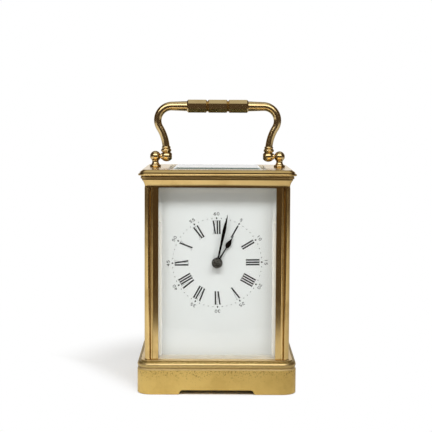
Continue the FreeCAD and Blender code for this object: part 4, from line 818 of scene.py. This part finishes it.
@dataclass(frozen=True)
class Stroke:
    """A pen stroke in a numeral's own plane: across, then up, in millimetres."""

    path: np.ndarray
    half: np.ndarray
    nib: Optional[tuple[float, float]] = None

    def edges(self) -> tuple[np.ndarray, np.ndarray]:
        """Return the stroke's two edges.

        An edge is the path moved by the half width along the nib, or along the path's own
        normal where no nib is given.

        Returns:
            The left and the right edge, each as rows of across and up.
        """
        if self.nib is None:
            along = np.gradient(self.path, axis=0)
            along /= np.linalg.norm(along, axis=1, keepdims=True)
            side = np.stack([-along[:, 1], along[:, 0]], axis=-1)
        else:
            side = np.broadcast_to(np.asarray(self.nib), self.path.shape)
        shift = side * self.half[:, None]
        return self.path - shift, self.path + shift

    @staticmethod
    def line(
        start: Sequence[float],
        end: Sequence[float],
        width: float,
        nib: Optional[tuple[float, float]] = None,
    ) -> "Stroke":
        """Return a straight stroke of even width from start to end."""
        return Stroke(np.array([start, end], float), np.full(2, width / 2.0), nib)

    @staticmethod
    def arc(
        centre: Sequence[float],
        radii: Sequence[float],
        start: float,
        end: float,
        width: float,
        stride: float = 24.0,
    ) -> "Stroke":
        """Return a stroke along an ellipse.

        The point at angle a is centre + (rx cos a, ry sin a).

        Args:
            centre: Middle of the ellipse.
            radii: Half its width and half its height.
            start: First angle in degrees, from the right, turning left.
            end: Last angle in degrees.
            width: Width of the stroke.
            stride: Largest angle between two points, in degrees.

        Returns:
            The stroke.
        """
        angle = np.radians(np.linspace(start, end, 2 + int(abs(end - start) // stride)))
        path = np.asarray(centre) + np.asarray(radii) * np.stack([np.cos(angle), np.sin(angle)], axis=-1)
        return Stroke(path, np.full(len(path), width / 2.0))

    @staticmethod
    def spot(centre: Sequence[float], radius: float, stations: int = 7) -> "Stroke":
        """Draw a round spot: a short path whose half width follows a circle.

        Args:
            centre: Middle of the spot.
            radius: Its radius.
            stations: Points along the path.

        Returns:
            The spot as a stroke.
        """
        t = np.cos(np.linspace(np.pi, 0.0, stations))
        path = np.stack([np.full(stations, centre[0]), centre[1] + radius * t], axis=-1)
        return Stroke(path, np.maximum(radius * np.sqrt(1.0 - t * t), POINT), (1.0, 0.0))

    @staticmethod
    def lozenge(centre: Sequence[float], half_width: float, half_height: float) -> "Stroke":
        """Return a lozenge: a path whose half width grows and falls in straight lines."""
        path = np.array([[centre[0], centre[1] + k * half_height] for k in (-1, 0, 1)])
        return Stroke(path, np.array([POINT, half_width, POINT]), (1.0, 0.0))

    def moved(self, across: float) -> "Stroke":
        """Return the stroke moved sideways."""
        return Stroke(self.path + np.array([across, 0.0]), self.half, self.nib)


@dataclass
class DialPrint:
    """Chapters, minute track and five-minute figures, fired on the dial."""

    centre: tuple[float, float] = (0.0, 65.34)
    face: float = -23.2
    proud: float = 0.03
    clear: float = 0.004
    chapter_inner: float = 14.6
    chapter_height: float = 6.75
    thick: float = 0.77
    hairline: float = 0.12
    serif: float = 0.09
    pitch: float = 1.2
    five: tuple[float, float, float] = (-0.62, 0.28, 0.95)
    five_pitch: float = 2.1
    ten_heavy: tuple[float, float] = (-0.50, 0.47)
    ten_light: tuple[float, float] = (0.62, -0.62)
    ten_pitch: float = 1.86
    track_radius: float = 22.55
    dot_radius: float = 0.23
    mark_half: tuple[float, float] = (0.46, 0.62)
    figure_radius: float = 24.08
    figure_height: float = 1.35
    figure_half: float = 0.53
    figure_step: float = 1.6
    figure_line: float = 0.26
    set_askew: float = -0.9
    hours: ClassVar[tuple[str, ...]] = (
        "XII", "I", "II", "III", "IIII", "V", "VI", "VII", "VIII", "IX", "X", "XI",
    )

    def laid(self, strokes: Sequence[Stroke], turn: float, radius: float) -> list[Surface]:
        """Lay strokes on the dial as thin prisms.

        A point (u, v) of a stroke goes to the dial at u along the tangent and radius + v
        along the ray that is turned clockwise from twelve. The whole print is turned by
        set_askew, as it was fired a little out of true. A flat rectangle is carried along
        the stroke: each ring has the two edges at the front and at the back.

        Args:
            strokes: Strokes in the numeral's own plane.
            turn: Clockwise angle from twelve, in degrees.
            radius: Distance of the numeral's foot from the centre.

        Returns:
            One closed prism for each stroke.
        """
        a = math.radians(turn + self.set_askew)
        ray = np.array([math.sin(a), math.cos(a)])
        tangent = np.array([math.cos(a), -math.sin(a)])
        front, back = self.face - self.proud, self.face - self.clear
        prisms = []
        for stroke in strokes:
            left, right = (
                edge[:, :1] * tangent + (edge[:, 1:] + radius) * ray + np.asarray(self.centre)
                for edge in stroke.edges()
            )
            corners = [(left, front), (right, front), (right, back), (left, back)]
            rings = [np.stack([p[:, 0], np.full(len(p), depth), p[:, 1]], axis=-1) for p, depth in corners]
            prisms.append(Surface.tube(np.stack(rings, axis=1)))
        return prisms

    def letter(self, letter: Letter) -> tuple[list[Stroke], float]:
        """Draw one letter of a chapter.

        Args:
            letter: The letter.

        Returns:
            Its strokes about its own middle, and the width that it takes in the line.
        """
        top = self.chapter_height
        flat = (1.0, 0.0)
        if letter is Letter.ONE:
            thick = [Stroke.line((0.0, 0.0), (0.0, top), self.thick, flat)]
            return thick + self.serifs([(0.0, 0.0), (0.0, top)]), self.pitch
        if letter is Letter.FIVE:
            left, foot, right = self.five
            heavy = Stroke.line((left, top), (foot, 0.0), self.thick, flat)
            light = Stroke.line((foot, 0.0), (right, top), self.hairline, flat)
            return [heavy, light] + self.serifs([(left, top), (right, top)]), self.five_pitch
        (head, foot), (thin_head, thin_foot) = self.ten_heavy, self.ten_light
        heavy = Stroke.line((head, top), (foot, 0.0), self.thick, flat)
        light = Stroke.line((thin_foot, 0.0), (thin_head, top), self.hairline, flat)
        ends = [(head, top), (foot, 0.0), (thin_foot, 0.0), (thin_head, top)]
        return [heavy, light] + self.serifs(ends), self.ten_pitch

    def serifs(self, places: Sequence[tuple[float, float]]) -> list[Stroke]:
        """Draw a hairline serif across each place."""
        reach = 0.5 * self.pitch
        return [Stroke.line((x - reach, y), (x + reach, y), self.serif, (0.0, 1.0)) for x, y in places]

    def chapter(self, text: str) -> list[Stroke]:
        """Set one chapter from its letters, centred on its ray.

        Args:
            text: The numeral in letters.

        Returns:
            The strokes of all its letters.
        """
        letters = [self.letter(Letter(mark)) for mark in text]
        ends = np.cumsum([width for _, width in letters])
        starts = ends - np.array([width for _, width in letters])
        middles = (starts + ends) / 2.0 - ends[-1] / 2.0
        return [s.moved(float(at)) for (strokes, _), at in zip(letters, middles) for s in strokes]

    def digit(self, mark: str) -> list[Stroke]:
        """Draw one small figure, figure_height tall and twice figure_half wide.

        Args:
            mark: A figure from 0 to 6.

        Returns:
            Its strokes about its own middle.
        """
        h = self.figure_height
        w = self.figure_line
        half = self.figure_half
        low, high = 0.29 * h, 0.74 * h
        drawn = {
            "0": [Stroke.arc((0.0, h / 2.0), (half, h / 2.0), 0.0, 360.0, w)],
            "1": [
                Stroke.line((0.0, 0.0), (0.0, h), w),
                Stroke.line((-0.30, 0.78 * h), (0.0, h), w),
            ],
            "2": [
                Stroke.arc((0.0, high), (half, 0.26 * h), 170.0, -35.0, w),
                Stroke.line((0.85 * half, 0.58 * h), (-half, 0.0), w),
                Stroke.line((-half, 0.05), (half, 0.05), w),
            ],
            "3": [
                Stroke.arc((0.0, high), (0.9 * half, 0.26 * h), 160.0, -90.0, w),
                Stroke.arc((0.0, 0.27 * h), (half, 0.27 * h), 90.0, -160.0, w),
            ],
            "4": [
                Stroke.line((0.20, 0.0), (0.20, h), w),
                Stroke.line((0.20, h), (-half, 0.32 * h), w),
                Stroke.line((-half, 0.32 * h), (half, 0.32 * h), w),
            ],
            "5": [
                Stroke.line((0.85 * half, h - 0.05), (-0.7 * half, h - 0.05), w),
                Stroke.line((-0.7 * half, h), (-0.8 * half, 0.52 * h), w),
                Stroke.arc((-0.02, 0.30 * h), (half, 0.30 * h), 125.0, -150.0, w),
            ],
            "6": [
                Stroke.arc((0.0, low), (half, low), 0.0, 360.0, w),
                Stroke.arc((0.7 * half, low), (1.7 * half, 0.71 * h), 180.0, 90.0, w),
            ],
        }
        return drawn[mark]

    def figures(self, number: int) -> list[Stroke]:
        """Set a five-minute number from its figures, centred on its ray.

        Args:
            number: The number of minutes.

        Returns:
            The strokes of all its figures.
        """
        marks = str(number)
        step = self.figure_step
        first = -step * (len(marks) - 1) / 2.0
        return [s.moved(first + step * k) for k, mark in enumerate(marks) for s in self.digit(mark)]

    def build(self, ink: bpy.types.Material) -> list[bpy.types.Object]:
        """Print the dial.

        Args:
            ink: The material of the print.

        Returns:
            The three printed pieces.
        """
        chapters = [
            prism
            for k, text in enumerate(self.hours)
            for prism in self.laid(self.chapter(text), 30.0 * k, self.chapter_inner)
        ]
        dot = [Stroke.spot((0.0, 0.0), self.dot_radius)]
        mark = [Stroke.lozenge((0.0, 0.0), *self.mark_half)]
        track = [
            prism
            for k in range(60)
            for prism in self.laid(mark if k % 5 == 0 else dot, 6.0 * k, self.track_radius)
        ]
        numbers = [
            prism
            for k in range(1, 13)
            for prism in self.laid(self.figures(5 * k), 30.0 * k, self.figure_radius)
        ]
        return [
            Surface.joined(parts).piece(name, ink, Body.CASE)
            for name, parts in (
                ("dial_chapters", chapters),
                ("dial_minute_track", track),
                ("dial_five_minute_figures", numbers),
            )
        ]


# Platform jewels


@dataclass
class PlatformJewels:
    """Stones over the pivot holes of the platform's cocks, each in its turned cup."""

    stone_radius: float = 0.62
    stone_rise: float = 0.22
    stone_sink: float = 0.3
    stone_foot: float = 0.9
    stone_rings: int = 7
    cup_radius: float = 1.05
    cup_rise: float = 0.16
    cup_edge: float = 0.1
    cup_slope: float = 0.12
    shoulder: float = 0.6
    seat: float = 0.4
    sunk: float = 0.02
    pivots: ClassVar[tuple[tuple[str, str, str], ...]] = (
        ("balance", "balance_swing", "balance_cock"),
        ("escape", "escape_turn", "escape_cock"),
        ("lever", "lever_rock", "escape_cock"),
    )

    def cup(self) -> np.ndarray:
        """Draw the cup's profile: a low ring that slopes in to the stone.

        Returns:
            Rows of radius and height, from the foot up.
        """
        rim, rise, bore = self.cup_radius, self.cup_rise, self.stone_radius
        outside = [[rim, -self.sunk], [rim, rise * self.shoulder], [rim - self.cup_edge, rise]]
        inside = [[bore + self.cup_slope, rise], [bore, rise * self.seat], [self.cup_edge, rise * self.seat]]
        return np.array(outside + inside)

    def stone(self) -> np.ndarray:
        """Draw the stone's profile: its height follows a quarter of an ellipse.

        Returns:
            Rows of radius and height, from the foot up.
        """
        turn = np.linspace(0.0, 0.5 * np.pi, self.stone_rings)
        sink = self.stone_sink * self.cup_rise
        dome = np.stack([self.stone_radius * np.cos(turn), sink + self.stone_rise * np.sin(turn)], axis=-1)
        return np.concatenate([[[self.stone_radius * self.stone_foot, sink - self.sunk]], dome])

    def build(self, stone: bpy.types.Material, cup: bpy.types.Material) -> list[bpy.types.Object]:
        """Set one stone in its cup over each pivot.

        Args:
            stone: The material of the stones.
            cup: The material of the cups.

        Returns:
            The stones and the cups.
        """
        joints = {joint["name"]: joint for joint in frame["record"]["behaviour"]["joints"]}
        made = []
        for name, joint, cock in self.pivots:
            across, along = (value / MM for value in joints[joint]["pos_m"][:2])
            foot = (across, along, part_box(cock)[1][2] / MM)
            made.append(turned(self.cup(), foot).piece(f"{name}_jewel_cup", cup, Body.CASE, Slot.GILT))
            made.append(turned(self.stone(), foot).piece(f"{name}_jewel", stone, Body.CASE, smooth=True))
        return made


# Clock and studio


@dataclass
class Clock:
    """The clock: which finish each part of the frame has, and its new pieces."""

    dial_print: DialPrint = field(default_factory=DialPrint)
    jewels: PlatformJewels = field(default_factory=PlatformJewels)

    def build(self) -> None:
        """Dress every part of the frame and add the new pieces."""
        finishes: dict[str, Finish] = {
            "case": CaseBrass(),
            "handle": CaseBrass(
                "handled_brass", (0.67, 0.505, 0.255), (0.56, 0.40, 0.175), gloss=0.19, wear=0.06, rub=0.012
            ),
            "base": BaseBrass(),
            "gilt": GrainedBrass(),
            "steel": Steel(),
            "blued": Steel("blued_steel_hands", (0.012, 0.013, 0.022), (0.006, 0.006, 0.010), 0.22, 0.10),
            # Painted reflection: fine light clouds on the collet are painted glints.
            "collet": Steel(
                "collet_steel_painted_glints",
                (0.66, 0.61, 0.58),
                (0.12, 0.105, 0.10),
                gloss=0.28,
                clouds=Mottle(720.0, 4.0, 0.6),
            ),
            "enamel": Enamel(),
            "front_glass": Glass("bevelled_front_glass"),
            "left_glass": Glass("bevelled_left_glass", "left_glass", ground=0.10),
            "right_glass": Glass("bevelled_right_glass", "right_glass", ground=0.10),
            "door_glass": Glass("bevelled_door_glass", "door_glass", 0.0012, ground=0.10),
            "top_glass": Glass("bevelled_top_glass", "top_glass", 0.0, 0.004, 0.0),
        }
        materials = {key: finish.material() for key, finish in finishes.items()}
        by_slot = {
            "case_brass": "case",
            "movement_brass": "gilt",
            "white_enamel": "enamel",
            "blued_steel": "blued",
            "polished_steel": "steel",
        }
        by_node = {"base": "base", "hand_collet": "collet"}
        by_node |= {name: name for name in finishes if name in frame["nodes"]}
        by_node |= {name: "handle" for name in frame["nodes"] if name.startswith("handle_")}
        for name, node in frame["nodes"].items():
            slot = node.material_slots[0].name.split(".")[0]
            key = by_node[name] if name in by_node else by_slot[slot]
            node.material_slots[0].material = materials[key]
            LOG.info("part %s has %s", name, materials[key].name)
        self.dial_print.build(Ink().material())
        self.jewels.build(Ruby().material(), materials["gilt"])


@dataclass(frozen=True)
class SoftBox:
    """A lamp: its place and size in metres, its power in watts, and what it is for."""

    name: str
    at: tuple[float, float, float]
    size: tuple[float, float]
    power: float
    role: Role


@dataclass
class Studio:
    """A white sweep lit from above, with a dim room behind the camera."""

    camera_at: tuple[float, float, float] = (-0.0020, -0.640, 0.1418)
    pitch: float = 4.9
    yaw: float = 0.124
    roll: float = 0.266
    lens: float = 102.3
    sensor: float = 36.0
    nearest: float = 0.01
    floor_radius: float = 1.7
    floor_middle: float = 0.002
    floor_drop: float = 0.00005
    floor_grid: tuple[int, int] = (12, 48)
    floor_end: float = 0.45
    floor_solid: float = 0.19
    floor_rough: float = 0.9
    floor_sheen: float = 0.1
    lift: float = 0.42
    table_edge: tuple[float, float] = (0.138, 0.228)
    table_flare: float = 0.7
    table_end: tuple[float, float] = (0.70, 1.10)
    footprint: tuple[float, float] = (0.040, 0.035)
    corner: float = 0.0073
    corner_fade: tuple[float, float] = (-0.001, 0.0005)
    shade_narrow: float = 1.5
    shade_edge: tuple[float, float] = (0.10, 0.165)
    shade_slant: float = 2.0
    shade_front: tuple[float, float] = (-0.004, -0.050)
    ambient: float = 0.37
    sweep_back: tuple[float, float] = (0.72, 0.90)
    sweep_top: tuple[float, float] = (0.62, 0.40)
    roof_foot: tuple[float, float] = (0.80, 0.93)
    white: Colour = (1.0, 1.0, 1.0)
    grey: Colour = (0.955, 0.955, 0.955)
    pale: Colour = (0.975, 0.975, 0.975)
    grain: Mottle = Mottle(900.0)
    # Painted shade: the floor's colour to the right of the clock.
    dull: Colour = (0.66, 0.645, 0.62)
    dull_side: tuple[float, float] = (-0.03, 0.06)
    warm: Colour = (1.0, 0.965, 0.90)
    cool: Colour = (0.975, 0.99, 1.0)
    room: Colour = (0.080, 0.056, 0.038)
    roof: Colour = (0.66, 0.665, 0.635)
    aim: tuple[float, float, float] = (0.0, 0.0, 0.06)
    lamps: ClassVar[tuple[SoftBox, ...]] = (
        SoftBox("key", (0.08, -0.62, 0.78), (1.30, 0.24), 10.2, Role.LIGHTING),
        SoftBox("highlight", (-0.04, -0.70, 0.66), (1.45, 0.46), 5.8, Role.MIRRORED),
    )

    def camera(self) -> bpy.types.Object:
        """Set the camera where the photograph was taken from.

        Returns:
            The camera.
        """
        data = bpy.data.cameras.new("camera")
        data.lens = self.lens
        data.sensor_width = self.sensor
        data.clip_start = self.nearest
        made = placed("camera", data)
        aim = Matrix.Rotation(-math.radians(self.yaw), 4, "Z")
        tilt = Matrix.Rotation(math.radians(90.0 - self.pitch), 4, "X")
        lean = Matrix.Rotation(math.radians(self.roll), 4, "Z")
        made.matrix_world = Matrix.Translation(Vector(self.camera_at)) @ aim @ tilt @ lean
        bpy.context.scene.camera = made
        return made

    def world(self) -> None:
        """Fill the world: plain light for matt surfaces, the studio's white and its dim room for gloss."""
        world = bpy.data.worlds.new("studio")
        world.use_nodes = True
        bpy.context.scene.world = world
        sheet = NodeSheet(world.node_tree)
        way = sheet.node("ShaderNodeTexCoord", output="Generated")
        back, up = (sheet.along(axis, way) for axis in "YZ")
        sweep = sheet.step(back, *self.sweep_back) * sheet.step(up, *self.sweep_top)
        dim = sheet.blend(sheet.step(up, *self.roof_foot), self.room, self.roof)
        gloss = sheet.ray("Is Glossy Ray")
        backdrop = sheet.blend(gloss, self.white, sheet.blend(sweep, dim, self.white))
        lights = (sheet.rgba(self.warm), self.ambient), (backdrop, 1.0)
        plain, studio = (
            sheet.node("ShaderNodeBackground", None, {"Color": colour, "Strength": strength})
            for colour, strength in lights
        )
        sharp = sheet.ray("Is Camera Ray") | gloss | sheet.ray("Is Transmission Ray")
        sheet.node("ShaderNodeOutputWorld", None, {"Surface": sheet.mixed(sharp, plain, studio)})

    def unshaded(self, sheet: NodeSheet, right: Wire, back: Wire) -> Wire:
        """Return a mask that is 0 in the clock's shade on the floor, drawn as a shape that lies to its left
        and behind it.

        Args:
            sheet: The floor's tree.
            right: Distance to the right of the clock's middle.
            back: Distance behind it.

        Returns:
            The mask.
        """
        half_width = self.footprint[0]
        oval = sheet.length(sheet.squeezed((self.shade_narrow, 1.0, 1.0)))
        left = 0.0 | (0.0 - right - half_width)
        sides = sheet.step(oval, *self.shade_edge) | sheet.step(right, -0.5 * half_width, half_width)
        return sides | sheet.step(back - left * self.shade_slant, *self.shade_front)

    def floor_paint(self) -> bpy.types.Material:
        """Make the floor's paint, which glows as painted light outside the drawn shade and fades out round
        it.

        Polished surfaces mirror the floor only as far as the table's edge.

        Returns:
            The paint.
        """
        paint = bpy.data.materials.new("pale_floor")
        paint.use_nodes = True
        sheet = NodeSheet(paint.node_tree)
        right, back = (sheet.along(axis) for axis in "XY")
        sideways, lengthways = (
            sheet.node("ShaderNodeMath", {"operation": "ABSOLUTE"}, {0: side}) for side in (right, back)
        )
        pale = sheet.blend(sheet.noise(self.grain), self.grey, self.pale)
        sockets = {
            # Painted shade: the floor is darker to the right of the clock, which darkens it where polished
            # surfaces mirror it.
            "Base Color": sheet.blend(sheet.step(right, *self.dull_side), pale, self.dull),
            "Roughness": self.floor_rough,
            "Specular IOR Level": self.floor_sheen,
        }
        glow = sheet.node("ShaderNodeEmission", None, {"Color": sheet.rgba(self.white), "Strength": 1.0})
        half_width, half_depth = self.footprint
        past_side = 0.0 | (sideways - (half_width - self.corner))
        past_end = 0.0 | (lengthways - (half_depth - self.corner))
        past = past_side * past_side + past_end * past_end
        beside = sheet.step(past, *((self.corner + fade) ** 2 for fade in self.corner_fade))
        # Painted light: for the camera the glow covers the floor's real shade outside the drawn shade, and
        # the lift of it inside; under the base it is left out.
        share = beside * (self.lift + self.unshaded(sheet, right, back) * (1.0 - self.lift))
        lifted = sheet.mixed(sheet.ray("Is Camera Ray") * share, sheet.principled(sockets), glow)
        away = sheet.length(sheet.place())
        gloss = sheet.ray("Is Glossy Ray")
        ahead = 0.0 - back - sideways * self.table_flare
        fade = sheet.step(away, self.floor_solid, self.floor_end) * (1.0 - gloss)
        mirrored = sheet.step(ahead, *self.table_edge) | sheet.step(away, *self.table_end)
        sheet.surface(sheet.mixed(fade | mirrored * gloss, lifted, sheet.through(self.white)))
        return paint

    def floor(self) -> bpy.types.Object:
        """Lay a pale floor that fades into the white round it.

        Point (s, a) lies at radius s from the clock, at angle a, just under its feet.

        Returns:
            The floor.
        """
        rings, corners = self.floor_grid
        angle = np.linspace(0.0, 2.0 * np.pi, corners, endpoint=False)
        radius = np.linspace(self.floor_middle, self.floor_radius, rings)[:, None]
        level = np.full(self.floor_grid, -self.floor_drop)
        points = np.stack([radius * np.cos(angle), radius * np.sin(angle), level], axis=-1)
        index = np.arange(rings * corners).reshape(rings, corners)
        following = np.roll(index, -1, axis=1)
        faces = np.stack([index[:-1], index[1:], following[1:], following[:-1]], axis=-1).reshape(-1, 4)
        mesh = bpy.data.meshes.new("floor")
        mesh.from_pydata(points.reshape(-1, 3).tolist(), [], faces.tolist() + [index[0].tolist()])
        mesh.materials.append(self.floor_paint())
        made = placed("floor", mesh)
        return made

    def lamp(self, box: SoftBox) -> bpy.types.Object:
        """Hang a soft box that faces the clock.

        Args:
            box: The lamp's place, size, power and role.

        Returns:
            The lamp.
        """
        data = bpy.data.lights.new(box.name, "AREA")
        data.shape = "RECTANGLE"
        data.size, data.size_y = box.size
        data.energy = box.power
        data.color = self.cool if box.role is Role.LIGHTING else self.white
        made = placed(box.name, data)
        made.location = Vector(box.at)
        made.rotation_euler = (Vector(self.aim) - Vector(box.at)).to_track_quat("-Z", "Y").to_euler()
        made.visible_glossy = box.role is Role.MIRRORED
        made.visible_diffuse = box.role is Role.LIGHTING
        return made

    def build(self) -> None:
        """Set up camera, world, floor and lamps."""
        self.camera()
        self.world()
        self.floor()
        for box in self.lamps:
            self.lamp(box)
        bpy.context.scene.view_settings.view_transform = "Standard"


def main() -> None:
    """Build the clock and its studio."""
    logging.basicConfig(level=logging.INFO, format="%(message)s")
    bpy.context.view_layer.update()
    Clock().build()
    Studio().build()
    bpy.context.view_layer.update()


if __name__ == "__main__":
    main()
